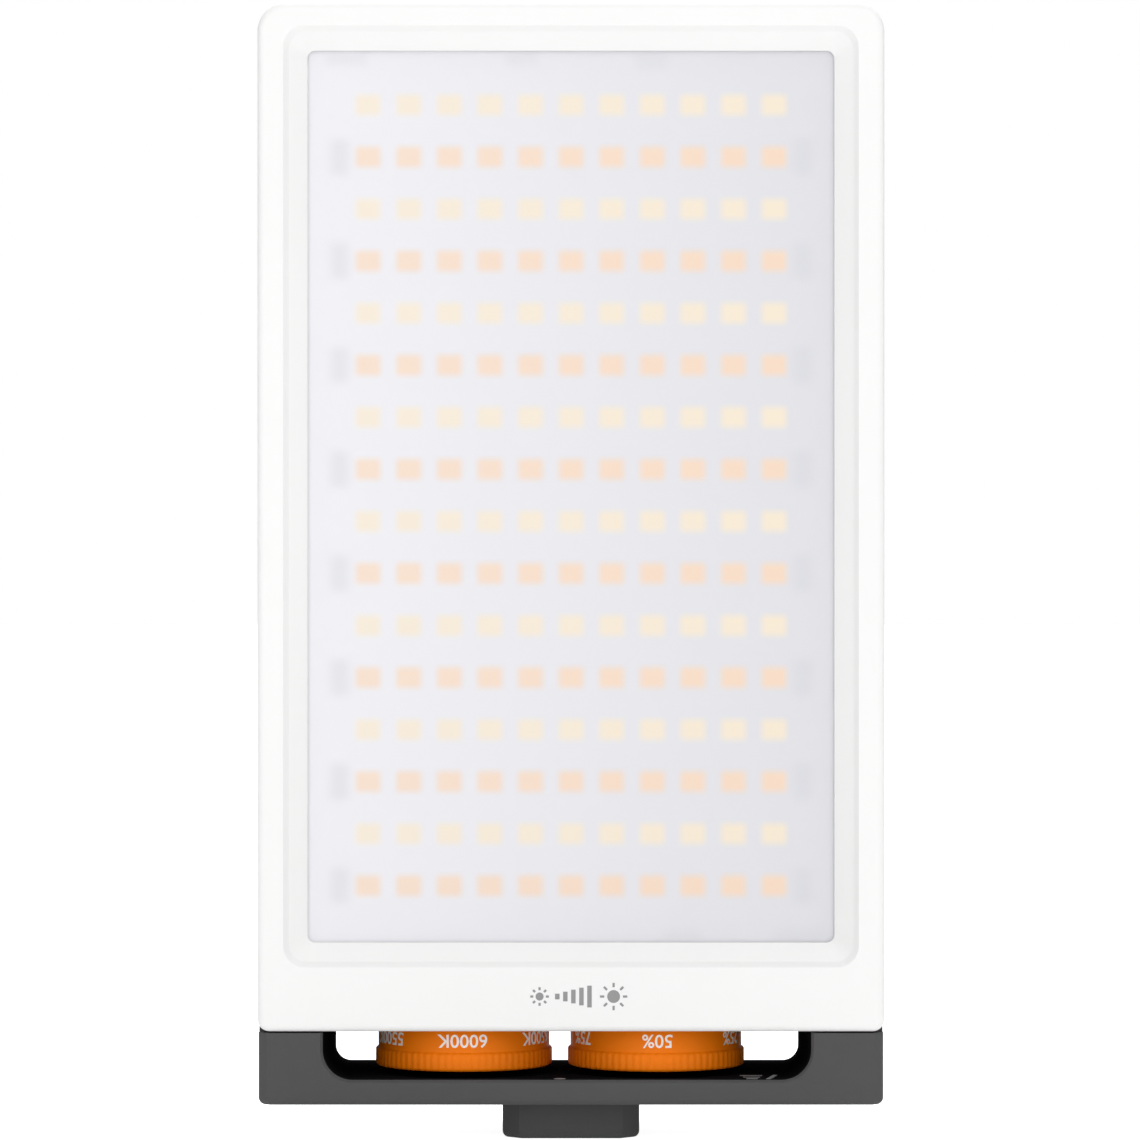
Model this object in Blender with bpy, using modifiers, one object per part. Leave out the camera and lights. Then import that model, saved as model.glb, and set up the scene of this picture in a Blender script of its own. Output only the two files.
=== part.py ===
"""Pocket LED panel light: a white housing with a frosted panel, and a dark end frame that guards two dials.

Sizes are in millimetres, turned into metres by MM. Seen from the front, +X is to the right, +Y runs to the
back and +Z is up. The origin is the centre of the tripod boss's lower face.
"""

import math

import bmesh
import bpy
from mathutils import Matrix, Vector

MM = 0.001
SHARP_ANGLE = math.radians(35)

# Outer shape
HALF_WIDTH = 39.0
FRONT = -15.0
BACK = 15.0
BODY_TOP = 142.0
CORNER_RADIUS = 3.6
EDGE_RADIUS = 0.9
WALL = 1.6
FIT_GAP = 0.2  # between neighbouring casings

# Front housing and rear cover
HOUSING_BOTTOM = 14.0
HOUSING_BOTTOM_RADIUS = 1.5
SEAM = 13.1  # depth where the rear cover starts
FRONT_WALL_BACK = -12.4
CAVITY_HALF_WIDTH = HALF_WIDTH - WALL
CAVITY_TOP = BODY_TOP - WALL
COVER_INNER = SEAM + 0.1

# Light window in the housing's front: a steep rim, then a shallow slope down to the diffuser
OPENING_HALF_WIDTH = 32.85
OPENING_BOTTOM = 24.95
OPENING_TOP = 136.15
RECESS_STEPS = ((2.95, FRONT - 0.5, 2.7), (2.95, FRONT, 2.7), (2.35, -14.1, 2.3), (0.0, -12.8, 1.0))

# Cooling ribs and slots on both sides and the top
RIB_PITCH = 3.511
RIB_WIDTH = 1.7
RIB_HEIGHT = 0.25
RIB_HALF_LENGTH = 9.5
SIDE_RIBS = 23
SIDE_RIBS_START = 48.9
TOP_RIBS = 17
SLOT_WIDTH = 1.1
SLOT_HALF_LENGTH = 8.7

# End frame
FRAME_HALF_WIDTH = 38.9
SHOULDER_TOP = 16.1  # the frame's corners reach up behind the housing's front wall
SHOULDER_FRONT = -12.1
SHOULDER_INNER = 34.0
FRAME_HALF_DEPTH = 14.4
FRAME_EDGE_CHAMFER = 1.1
BAR_BOTTOM = 4.8
FRAME_TOP = HOUSING_BOTTOM - FIT_GAP
WEB_BOTTOM = 14.8
WEB_TOP = 17.2
WINDOW_LEFT = -30.9
WINDOW_RIGHT = 29.9
WINDOW_FLOOR_FRONT = 7.95
WINDOW_FLOOR_BACK = 7.75
WINDOW_TAPER = 0.4
BOSS_HALF_WIDTH = 8.6
BOSS_CHAMFER = 2.1
INSERT_RADIUS = 4.6
TRIPOD_THREAD_RADIUS = 3.175
INSERT_TOP = 6.9

# Dials
DIAL_AXES = {"cct": -13.6, "brightness": 10.8}  # X of each dial's upright axis
GRIP_RADIUS = 11.2
SCALE_RADIUS = 10.87
GRIP_RIBS = 64
GRIP_DEPTH = 0.18
DIAL_BOTTOM = 8.6
GRIP_TOP = 10.85
DIAL_TOP = 14.55
POCKET_RADIUS = 11.9
POCKET_FLOOR = 7.6
SHAFT_RADIUS = 1.5
SHAFT_FLAT = 1.0  # distance of the shaft's flat from its axis
SHAFT_BOTTOM = 9.7
SHAFT_TOP = 21.5
POT_BOTTOM = 17.4
POT_TOP = 23.8
BUSH_RADIUS = 3.3

# Light engine, front to back
DIFFUSER_FRONT = -12.3
DIFFUSER_BACK = -10.8
LIGHT_BOX_BACK = -8.6
BOARD_FRONT = -8.4
BOARD_BACK = -7.2
PAD_BACK = -6.7
SINK_BASE_BACK = -5.6
LED_COLUMNS = 11
LED_ROWS = 16
LED_PITCH_X = 5.09
LED_PITCH_Z = 6.527
LED_FIRST_ROW = 31.8
LED_WIDTH = 3.5
LED_HEIGHT = 2.8
LED_FRONT = -9.2
STRIP_FRONT = -8.7
BOARD_GAP = 0.08

# Cooling
FIN_COUNT = 16
FIN_PITCH = 2.6
FIN_START = 49.6
FIN_THICKNESS = 1.0
FIN_BACK = 4.0
FAN_CENTRE_Z = 69.5
FAN_HALF = 20.0
FAN_FRONT = 4.4
FAN_BACK = 11.4
FAN_BORE = 18.7
BLADE_COUNT = 7

# Battery
CELL_RADIUS = 9.2
CELL_HALF_LENGTH = 32.6
CELL_Y = 3.8
CELL_Z = {"lower": 102.2, "upper": 121.2}

# Boards and side controls
DRIVER_FRONT = 5.0
DRIVER_BACK = 6.2
USB_Z = 33.0
USB_Y = 3.35
BUTTON_Z = 31.0
BUTTON_Y = 3.2
BUTTON_RADIUS = 3.0
BUTTON_TRAVEL = 0.6
INDICATOR_Z = tuple(36.4 + 2.2 * step for step in range(4))

# Screws
BOSS_X = 35.4
REAR_SCREWS = ((-BOSS_X, 46.2), (BOSS_X, 46.2), (-BOSS_X, 136.0), (BOSS_X, 136.0))
FRAME_SCREWS = ((-BOSS_X, 20.5), (BOSS_X, 20.5))
BOARD_SCREWS = ((-25.0, 23.1), (25.0, 23.1), (-25.0, 138.3), (25.0, 138.3))
FAN_SCREWS = ((-16.5, FAN_CENTRE_Z - 16.5), (16.5, FAN_CENTRE_Z + 16.5))
SCREW_BOSS_RADIUS = 2.2
SCREW_BOSS_START = -5.2

COLOURS = {
    "white_plastic": ((0.90, 0.90, 0.89), 0.42, 0.0),
    "dark_plastic": ((0.095, 0.095, 0.098), 0.45, 0.0),
    "orange_plastic": ((0.85, 0.22, 0.02), 0.38, 0.0),
    "frosted_plastic": ((0.86, 0.88, 0.92), 0.5, 0.0),
    "reflector_white": ((0.93, 0.93, 0.93), 0.6, 0.0),
    "board_white": ((0.88, 0.89, 0.90), 0.4, 0.0),
    "cool_phosphor": ((0.95, 0.82, 0.45), 0.4, 0.0),
    "warm_phosphor": ((0.95, 0.55, 0.25), 0.4, 0.0),
    "thermal_grey": ((0.45, 0.47, 0.50), 0.8, 0.0),
    "aluminium": ((0.75, 0.76, 0.78), 0.35, 1.0),
    "black_plastic": ((0.03, 0.03, 0.03), 0.5, 0.0),
    "cell_wrap": ((0.10, 0.35, 0.30), 0.35, 0.0),
    "board_green": ((0.02, 0.16, 0.08), 0.4, 0.0),
    "steel": ((0.60, 0.60, 0.62), 0.3, 1.0),
    "brass": ((0.78, 0.58, 0.25), 0.3, 1.0),
    "clear_plastic": ((0.85, 0.90, 0.92), 0.2, 0.0),
    "red_wire": ((0.60, 0.03, 0.02), 0.5, 0.0),
    "black_wire": ((0.02, 0.02, 0.02), 0.5, 0.0),
    "white_wire": ((0.85, 0.85, 0.82), 0.5, 0.0),
    "copper": ((0.72, 0.40, 0.22), 0.35, 1.0),
}


# ---------------------------------------------------------------------------------------------------
# Scene and materials
# ---------------------------------------------------------------------------------------------------
def start_scene():
    """Empties the scene and returns the collections for the light's parts and for the cutters."""
    for obj in list(bpy.data.objects):
        bpy.data.objects.remove(obj, do_unlink=True)
    made = []
    for name in ("led_panel_light", "cutters"):
        collection = bpy.data.collections.new(name)
        bpy.context.scene.collection.children.link(collection)
        made.append(collection)
    return made


def make_materials():
    """One Principled BSDF material for each entry of COLOURS."""
    made = {}
    for name, (colour, roughness, metallic) in COLOURS.items():
        material = bpy.data.materials.new(name)
        material.use_nodes = True
        material.diffuse_color = (*colour, 1.0)
        shader = material.node_tree.nodes["Principled BSDF"]
        shader.inputs["Base Color"].default_value = (*colour, 1.0)
        shader.inputs["Roughness"].default_value = roughness
        shader.inputs["Metallic"].default_value = metallic
        made[name] = material
    return made


PARTS, CUTTERS = start_scene()
MATERIALS = make_materials()


def add_object(name, mesh, material=None):
    """Links a mesh as a part with a material or, without one, as a hidden tool for Booleans."""
    obj = bpy.data.objects.new(name, mesh)
    if material is None:
        CUTTERS.objects.link(obj)
        obj.hide_render = True
        obj.display_type = "WIRE"
    else:
        PARTS.objects.link(obj)
        mesh.materials.append(MATERIALS[material])
    return obj


def shape(name, build, material=None):
    """Makes an object from a function that fills a bmesh with shapes."""
    bm = bmesh.new()
    build(bm)
    bmesh.ops.recalc_face_normals(bm, faces=bm.faces)
    mesh = bpy.data.meshes.new(name)
    bm.to_mesh(mesh)
    bm.free()
    mesh.shade_smooth()
    mesh.set_sharp_from_angle(angle=SHARP_ANGLE)
    return add_object(name, mesh, material)


def boolean(obj, build, operation, label):
    """Cuts or joins the shapes that build() makes."""
    tool = shape(f"{obj.name}_{label}", build)
    modifier = obj.modifiers.new(label, "BOOLEAN")
    modifier.operation = operation
    modifier.object = tool
    modifier.solver = "EXACT"
    modifier.use_self = True
    return obj


def set_origin(obj, point):
    """Moves the object's origin to a point and leaves its shape where it is."""
    place = Vector(point) * MM
    obj.data.transform(Matrix.Translation(-place))
    obj.location = place
    return obj


def cut(obj, build, label="cut"):
    return boolean(obj, build, "DIFFERENCE", label)


def join(obj, build, label="join"):
    return boolean(obj, build, "UNION", label)


# ---------------------------------------------------------------------------------------------------
# Shapes added to a bmesh, all in millimetres
# ---------------------------------------------------------------------------------------------------
def block(bm, low, high, axis=None, radius=0.0, steps=4):
    """A box between two corners. Its edges along one axis can be rounded, or chamfered by steps=1."""
    low, high = Vector(low) * MM, Vector(high) * MM
    place = Matrix.Translation((low + high) / 2) @ Matrix.Diagonal((*(high - low), 1.0))
    verts = bmesh.ops.create_cube(bm, size=1.0, matrix=place)["verts"]
    if radius:
        edges = {edge for vert in verts for edge in vert.link_edges}
        picked = [edge for edge in edges if runs_along(edge, "XYZ".index(axis))]
        round_off(bm, picked, radius, steps)


def runs_along(edge, index):
    direction = edge.verts[1].co - edge.verts[0].co
    return abs(direction[index]) > 0.999 * direction.length


def round_off(bm, edges, radius, steps):
    bmesh.ops.bevel(
        bm, geom=edges, offset=radius * MM, segments=steps, profile=0.5, affect="EDGES", clamp_overlap=True
    )


def rod(bm, axis, centre, radius, start, end, sides=24, end_radius=None):
    """A cylinder or a cone along an axis. centre gives the two other coordinates, in X, Y, Z order."""
    index = "XYZ".index(axis)
    middle = list(centre)
    middle.insert(index, (start + end) / 2)
    turn = {"X": Matrix.Rotation(math.pi / 2, 4, "Y"), "Y": Matrix.Rotation(-math.pi / 2, 4, "X")}
    place = Matrix.Translation(Vector(middle) * MM) @ turn.get(axis, Matrix.Identity(4))
    bmesh.ops.create_cone(
        bm,
        cap_ends=True,
        segments=sides,
        radius1=radius * MM,
        radius2=(radius if end_radius is None else end_radius) * MM,
        depth=(end - start) * MM,
        matrix=place,
    )


def loft(bm, sections):
    """A closed body through sections, which are loops of the same number of points."""
    rings = [[bm.verts.new(Vector(point) * MM) for point in section] for section in sections]
    for first, second in zip(rings, rings[1:]):
        for here in range(len(first)):
            after = (here + 1) % len(first)
            bm.faces.new((first[here], first[after], second[after], second[here]))
    bm.faces.new(rings[0])
    bm.faces.new(rings[-1])


def rounded_loop(left, right, bottom, top, radii, steps=5):
    """(x, z) points round a rectangle. radii are for bottom left, bottom right, top right and top left."""
    signs = ((-1, -1), (1, -1), (1, 1), (-1, 1))
    corners = ((left, bottom), (right, bottom), (right, top), (left, top))
    points = []
    for number, ((x, z), (sx, sz), radius) in enumerate(zip(corners, signs, radii)):
        for step in range(steps + 1):
            angle = math.pi + (number + step / steps) * math.pi / 2
            points.append(
                (x - sx * radius + radius * math.cos(angle), z - sz * radius + radius * math.sin(angle))
            )
    return points


def d_rod(bm, x, radius, flat, bottom, top, sides=20):
    """An upright rod at (x, 0) with a flat on its +X side."""
    limit = math.acos(flat / radius)
    angles = [limit + (2 * math.pi - 2 * limit) * step / sides for step in range(sides + 1)]
    ring = [(x + radius * math.cos(angle), radius * math.sin(angle)) for angle in angles]
    loft(bm, [[(px, py, z) for px, py in ring] for z in (bottom, top)])


def turned(name, profile, material, axis="Z", place=(0.0, 0.0, 0.0), sides=32):
    """A turned part. profile is (radius, height) from its top, down the outer side, to its foot."""
    mesh = bpy.data.meshes.new(name)
    points = [(radius * MM, 0.0, height * MM) for radius, height in profile]
    mesh.from_pydata(points, [(n, n + 1) for n in range(len(points) - 1)], [])
    obj = add_object(name, mesh, material)
    obj.location = Vector(place) * MM
    obj.rotation_euler = {"X": (0, math.pi / 2, 0), "Y": (-math.pi / 2, 0, 0), "Z": (0, 0, 0)}[axis]
    screw = obj.modifiers.new("turn", "SCREW")
    screw.steps = screw.render_steps = sides
    screw.use_smooth_shade = True
    screw.use_merge_vertices = True
    screw.merge_threshold = 0.00001
    return obj


def smooth_route(points, per_span=3):
    """Points on a smooth curve through a route's own points."""
    ends = [2 * Vector(points[0]) - Vector(points[1])]
    full = ends + [Vector(point) for point in points] + [2 * Vector(points[-1]) - Vector(points[-2])]
    route = []
    for before, start, end, after in zip(full, full[1:], full[2:], full[3:]):
        for step in range(per_span):
            t = step / per_span
            route.append(
                0.5
                * (
                    2 * start
                    + (end - before) * t
                    + (2 * before - 5 * start + 4 * end - after) * t**2
                    + (3 * start - before - 3 * end + after) * t**3
                )
            )
    return route + [full[-2]]


def wire(name, points, radius, material):
    """An insulated wire along a smooth route."""
    curve = bpy.data.curves.new(name, "CURVE")
    curve.dimensions = "3D"
    curve.bevel_depth = radius * MM
    curve.bevel_resolution = 2
    curve.use_fill_caps = True
    route = smooth_route(points)
    spline = curve.splines.new("POLY")
    spline.points.add(len(route) - 1)
    for target, point in zip(spline.points, route):
        target.co = (*(point * MM), 1.0)
    curve.materials.append(MATERIALS[material])
    obj = bpy.data.objects.new(name, curve)
    PARTS.objects.link(obj)
    return obj


def shell_slab(bm, start, end, rim):
    """The body's rounded outline between two depths, with the rim of one face filleted."""
    block(bm, (-HALF_WIDTH, start, HOUSING_BOTTOM), (HALF_WIDTH, end, BODY_TOP))
    middle = (HOUSING_BOTTOM + BODY_TOP) / 2 * MM
    for radius, side in ((CORNER_RADIUS, 1), (HOUSING_BOTTOM_RADIUS, -1)):
        picked = [
            edge
            for edge in bm.edges
            if runs_along(edge, 1) and side * (edge.verts[0].co.z - middle) > middle / 2
        ]
        round_off(bm, picked, radius, 6)
    on_rim = [edge for edge in bm.edges if all(abs(vert.co.y - rim * MM) < 1e-6 for vert in edge.verts)]
    round_off(bm, on_rim, EDGE_RADIUS, 3)


# ---------------------------------------------------------------------------------------------------
# Casings
# ---------------------------------------------------------------------------------------------------
def recess(bm):
    """The light window: a rounded rectangle that narrows towards the diffuser."""
    sections = []
    for margin, depth, radius in RECESS_STEPS + ((0.0, FRONT_WALL_BACK + 1.0, 1.0),):
        outline = rounded_loop(
            -OPENING_HALF_WIDTH - margin,
            OPENING_HALF_WIDTH + margin,
            OPENING_BOTTOM - margin,
            OPENING_TOP + margin,
            (radius,) * 4,
        )
        sections.append([(x, depth, z) for x, z in outline])
    loft(bm, sections)


def vent_places():
    """The middle of each cooling rib, as (axis, place): upright along both sides, and along the top."""
    side = [("side", SIDE_RIBS_START + RIB_PITCH * number) for number in range(SIDE_RIBS)]
    top = [("top", RIB_PITCH * (number - (TOP_RIBS - 1) / 2)) for number in range(TOP_RIBS)]
    return side + top


def vent_ribs(bm):
    half = RIB_WIDTH / 2
    for where, place in vent_places():
        if where == "top":
            block(
                bm,
                (place - half, -RIB_HALF_LENGTH, BODY_TOP - 0.5),
                (place + half, RIB_HALF_LENGTH, BODY_TOP + RIB_HEIGHT),
            )
            continue
        for side in (-1, 1):
            inner, outer = sorted((side * (HALF_WIDTH - 0.5), side * (HALF_WIDTH + RIB_HEIGHT)))
            block(bm, (inner, -RIB_HALF_LENGTH, place - half), (outer, RIB_HALF_LENGTH, place + half))


def vent_slots(bm):
    """A slot through the wall between each two neighbouring ribs."""
    half = SLOT_WIDTH / 2
    places = vent_places()
    for (where, place), (next_where, _) in zip(places, places[1:]):
        if next_where != where:
            continue
        middle = place + RIB_PITCH / 2
        if where == "top":
            block(
                bm,
                (middle - half, -SLOT_HALF_LENGTH + 3, CAVITY_TOP - 1),
                (middle + half, SLOT_HALF_LENGTH, BODY_TOP + 1),
            )
            continue
        for side in (-1, 1):
            inner, outer = sorted((side * (CAVITY_HALF_WIDTH - 1), side * (HALF_WIDTH + 1)))
            block(
                bm,
                (inner, -SLOT_HALF_LENGTH + 3, middle - half),
                (outer, SLOT_HALF_LENGTH, middle + half),
            )


def front_housing():
    """White tub: front face with the light window, both sides, and the top."""
    obj = shape("front_housing", lambda bm: shell_slab(bm, FRONT, SEAM, FRONT), "white_plastic")
    join(obj, vent_ribs, "ribs")
    cut(
        obj,
        lambda bm: block(
            bm,
            (-CAVITY_HALF_WIDTH, FRONT_WALL_BACK, 5.0),
            (CAVITY_HALF_WIDTH, 25.0, CAVITY_TOP),
            "Y",
            CORNER_RADIUS - WALL,
        ),
        "cavity",
    )
    cut(obj, recess, "recess")

    def bosses(bm):
        for x, z in REAR_SCREWS:
            rod(bm, "Y", (x, z), SCREW_BOSS_RADIUS, SCREW_BOSS_START, SEAM - 0.2, 16)
        for x, z in FRAME_SCREWS:
            rod(bm, "Y", (x, z), SCREW_BOSS_RADIUS, SCREW_BOSS_START, 8.0, 16)

    join(obj, bosses, "bosses")

    def holes(bm):
        vent_slots(bm)
        for x, z in REAR_SCREWS:
            rod(bm, "Y", (x, z), 1.1, 5.5, SEAM + 1, 12)
        for x, z in FRAME_SCREWS:
            rod(bm, "Y", (x, z), 1.1, 0.0, 9.0, 12)
        rod(bm, "X", (BUTTON_Y, BUTTON_Z), BUTTON_RADIUS + 0.2, 36.0, 41.0, 32)
        for z in INDICATOR_Z:
            rod(bm, "X", (BUTTON_Y, z), 0.7, 36.0, 41.0, 12)
        for side in (-1, 1):
            inner, outer = sorted((side * (SHOULDER_INNER - FIT_GAP), side * (HALF_WIDTH + 1)))
            low = (inner, SHOULDER_FRONT - FIT_GAP, HOUSING_BOTTOM - 1)
            block(bm, low, (outer, SEAM + 1, SHOULDER_TOP + FIT_GAP))
        block(bm, (-41.0, USB_Y - 1.9, USB_Z - 4.75), (-36.0, USB_Y + 1.9, USB_Z + 4.75), "X", 1.8, 5)

    return cut(obj, holes, "holes")


def rear_cover():
    """White back plate with the fan grille, screw counterbores and a locating lip."""
    obj = shape("rear_cover", lambda bm: shell_slab(bm, COVER_INNER, BACK, BACK), "white_plastic")

    def lip(bm):
        block(bm, (-24.0, 11.9, 139.2), (24.0, COVER_INNER + 0.3, 140.1))
        for side in (-1, 1):
            inner, outer = sorted((side * 36.2, side * 37.1))
            block(bm, (inner, 11.9, 52.0), (outer, COVER_INNER + 0.3, 128.0))

    join(obj, lip, "lip")

    def holes(bm):
        for number in range(11):
            z = FAN_CENTRE_Z + 3.4 * (number - 5)
            reach = math.sqrt(FAN_BORE**2 - (z - FAN_CENTRE_Z) ** 2)
            block(bm, (-reach, 10.0, z - 0.9), (reach, 20.0, z + 0.9))
        for x, z in REAR_SCREWS:
            rod(bm, "Y", (x, z), 1.25, 10.0, 20.0, 16)

        for x, z in REAR_SCREWS:
            rod(bm, "Y", (x, z), 2.25, 13.85, 20.0, 20)

    return cut(obj, holes, "holes")


def window_cutter(bm):
    """The see-through window round the dials. Its corners tighten and its floor drops towards the back."""
    sections = []
    depths = (
        (FRONT - 0.2, 0.0, WINDOW_FLOOR_FRONT, 3.7),
        (-FRAME_HALF_DEPTH, 0.0, WINDOW_FLOOR_FRONT, 3.7),
        (FRAME_HALF_DEPTH, WINDOW_TAPER, WINDOW_FLOOR_BACK, 2.0),
        (BACK + 0.2, WINDOW_TAPER, WINDOW_FLOOR_BACK, 2.0),
    )
    for depth, inset, floor, radius in depths:
        outline = rounded_loop(
            WINDOW_LEFT + inset, WINDOW_RIGHT - inset, floor, WEB_BOTTOM, (radius, radius, 0.8, 0.8), 6
        )
        sections.append([(x, depth, z) for x, z in outline])
    loft(bm, sections)


def end_frame():
    """Dark U-shaped guard round the dials, with the tripod boss below and a tongue inside the housing."""

    def outer(bm):
        low = (-FRAME_HALF_WIDTH, -FRAME_HALF_DEPTH, BAR_BOTTOM)
        block(bm, low, (FRAME_HALF_WIDTH, FRAME_HALF_DEPTH, FRAME_TOP), "Z", FRAME_EDGE_CHAMFER, 1)
        at_bottom = [edge for edge in bm.edges if all(v.co.z < BAR_BOTTOM * MM + 1e-6 for v in edge.verts)]
        round_off(bm, at_bottom, 0.85, 3)

    obj = shape("end_frame", outer, "dark_plastic")

    def boss_and_tongue(bm):
        half = BOSS_HALF_WIDTH
        block(bm, (-half, -half, 0.0), (half, half, BAR_BOTTOM + 0.6), "Z", BOSS_CHAMFER, 1)
        at_bottom = [edge for edge in bm.edges if all(v.co.z < 1e-6 for v in edge.verts)]
        round_off(bm, at_bottom, 0.8, 3)
        block(bm, (-37.2, -12.2, FRAME_TOP - 1.0), (37.2, 13.0, WEB_TOP))
        for side in (-1, 1):
            inner, outer_x = sorted((side * 33.4, side * 37.2))
            block(bm, (inner, 8.2, WEB_TOP - 1.0), (outer_x, 10.2, 23.0))
            inner, outer_x = sorted((side * SHOULDER_INNER, side * FRAME_HALF_WIDTH))
            low = (inner, SHOULDER_FRONT, FRAME_TOP - 1.0)
            block(bm, low, (outer_x, SEAM - FIT_GAP, SHOULDER_TOP))

    join(obj, boss_and_tongue, "boss")

    def holes(bm):
        window_cutter(bm)
        for x in DIAL_AXES.values():
            rod(bm, "Z", (x, 0.0), BUSH_RADIUS + 0.2, WEB_BOTTOM - 1.0, WEB_TOP + 1.0, 24)
            rod(bm, "Z", (x, 0.0), POCKET_RADIUS, POCKET_FLOOR, 9.5, 48)
        rod(bm, "Z", (0.0, 0.0), INSERT_RADIUS + 0.05, -1.0, INSERT_TOP + 0.1, 32)
        for x, z in FRAME_SCREWS:
            rod(bm, "Y", (x, z), 1.25, 7.0, 11.0, 12)

    return cut(obj, holes, "holes")


def tripod_insert():
    """Brass bush with the tripod screw's hole."""
    obj = shape(
        "tripod_insert",
        lambda bm: rod(bm, "Z", (0.0, 0.0), INSERT_RADIUS, 0.2, INSERT_TOP, 32),
        "brass",
    )
    return cut(obj, lambda bm: rod(bm, "Z", (0.0, 0.0), TRIPOD_THREAD_RADIUS, -1.0, 8.0, 32), "bore")


# ---------------------------------------------------------------------------------------------------
# Dials
# ---------------------------------------------------------------------------------------------------
def dial(name, x):
    """Dial with a ribbed grip below and a plain band for its scale above, pressed on a D-shaft."""

    def ring(radius, z, depth):
        points = []
        for step in range(2 * GRIP_RIBS):
            angle = math.pi * step / GRIP_RIBS
            reach = radius - depth * (step % 2)
            points.append((x + reach * math.cos(angle), reach * math.sin(angle), z))
        return points

    def body(bm):
        grip = [ring(GRIP_RADIUS, z, GRIP_DEPTH) for z in (DIAL_BOTTOM, GRIP_TOP)]
        band = [ring(SCALE_RADIUS, z, 0.0) for z in (GRIP_TOP + 0.12, DIAL_TOP)]
        loft(bm, grip + band)

    def bore(bm):
        d_rod(bm, x, SHAFT_RADIUS + 0.05, SHAFT_FLAT + 0.05, SHAFT_BOTTOM - 0.1, DIAL_TOP + 1.0)

    obj = shape(f"{name}_dial", body, "orange_plastic")
    return cut(set_origin(obj, (x, 0.0, 0.0)), bore, "bore")


def dial_shaft(name, x):
    def body(bm):
        d_rod(bm, x, SHAFT_RADIUS, SHAFT_FLAT, SHAFT_BOTTOM, SHAFT_TOP)

    return set_origin(shape(f"{name}_shaft", body, "steel"), (x, 0.0, 0.0))


def potentiometer(name, x):
    """Potentiometer body with the bush that goes through the end frame's web."""
    obj = shape(
        f"{name}_potentiometer",
        lambda bm: block(bm, (x - 4.8, -4.75, POT_BOTTOM), (x + 4.8, 4.75, POT_TOP), "Z", 0.8, 1),
        "steel",
    )
    join(obj, lambda bm: rod(bm, "Z", (x, 0.0), BUSH_RADIUS, WEB_BOTTOM + 0.1, POT_BOTTOM + 1.0), "bush")
    return cut(
        obj,
        lambda bm: rod(bm, "Z", (x, 0.0), SHAFT_RADIUS + 0.06, WEB_BOTTOM - 2.0, SHAFT_TOP + 0.3, 24),
        "bore",
    )


# ---------------------------------------------------------------------------------------------------
# Light engine
# ---------------------------------------------------------------------------------------------------
def diffuser():
    return shape(
        "diffuser",
        lambda bm: block(bm, (-35.4, DIFFUSER_FRONT, 22.6), (35.4, DIFFUSER_BACK, 138.9), "Y", 2.0, 4),
        "frosted_plastic",
    )


def light_box_frame():
    """White frame that holds the diffuser clear of the LED board."""
    obj = shape(
        "light_box_frame",
        lambda bm: block(
            bm, (-36.9, DIFFUSER_BACK + 0.1, 21.2), (36.9, LIGHT_BOX_BACK, 139.9), "Y", 1.5, 3
        ),
        "reflector_white",
    )
    cut(obj, lambda bm: block(bm, (-33.3, -14.0, 24.6), (33.3, -5.0, 136.9), "Y", 1.0, 3), "opening")
    return cut(
        obj,
        lambda bm: [rod(bm, "Y", (x, z), 0.9, DIFFUSER_BACK + 0.6, -5.0, 10) for x, z in BOARD_SCREWS],
        "pilots",
    )


def board_screw_holes(bm):
    for x, z in BOARD_SCREWS:
        rod(bm, "Y", (x, z), 1.0, -12.0, 0.0, 10)


def led_board():
    """Aluminium-core board with the chip resistors at both ends of each warm row."""
    obj = shape(
        "led_board",
        lambda bm: block(bm, (-36.4, BOARD_FRONT, 21.0), (36.4, BOARD_BACK, 140.0), "Y", 1.0, 2),
        "board_white",
    )

    def resistors(bm):
        for row in range(0, LED_ROWS, 2):
            z = LED_FIRST_ROW + row * LED_PITCH_Z + 0.4
            for x in (-29.7, 29.7):
                block(bm, (x - 1.1, BOARD_FRONT - 0.5, z - 2.0), (x + 1.1, BOARD_FRONT + 0.3, z + 2.0))

    join(obj, resistors, "resistors")
    return cut(obj, board_screw_holes, "holes")


def led_array(name, first_row, bus_x, material):
    """Every second row of LEDs, each row on its own strip, joined by a bus at one side of the board."""
    back = BOARD_FRONT - BOARD_GAP
    reach = LED_PITCH_X * (LED_COLUMNS - 1) / 2
    left, right = sorted((bus_x, -math.copysign(reach + LED_WIDTH / 2 + 0.3, bus_x)))
    steps = [(left, back), (left, STRIP_FRONT)]
    for column in range(LED_COLUMNS):
        x = LED_PITCH_X * column - reach
        start, end = x - LED_WIDTH / 2, x + LED_WIDTH / 2
        steps += [(start, STRIP_FRONT), (start, LED_FRONT), (end, LED_FRONT), (end, STRIP_FRONT)]
    steps += [(right, STRIP_FRONT), (right, back)]
    rows = [LED_FIRST_ROW + LED_PITCH_Z * row for row in range(first_row, LED_ROWS, 2)]

    def strips(bm):
        for z in rows:
            loft(bm, [[(x, y, z + side * LED_HEIGHT / 2) for x, y in steps] for side in (-1, 1)])

    def bus(bm):
        low, high = (bus_x - 0.3, STRIP_FRONT + 0.05, rows[0]), (bus_x + 0.3, back - 0.05, rows[-1])
        block(bm, low, high)

    return join(shape(name, strips, material), bus, "bus")


def thermal_pad():
    obj = shape(
        "thermal_pad",
        lambda bm: block(bm, (-35.8, BOARD_BACK + BOARD_GAP, 26.0), (35.8, PAD_BACK - BOARD_GAP, 136.0)),
        "thermal_grey",
    )
    return obj


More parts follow.
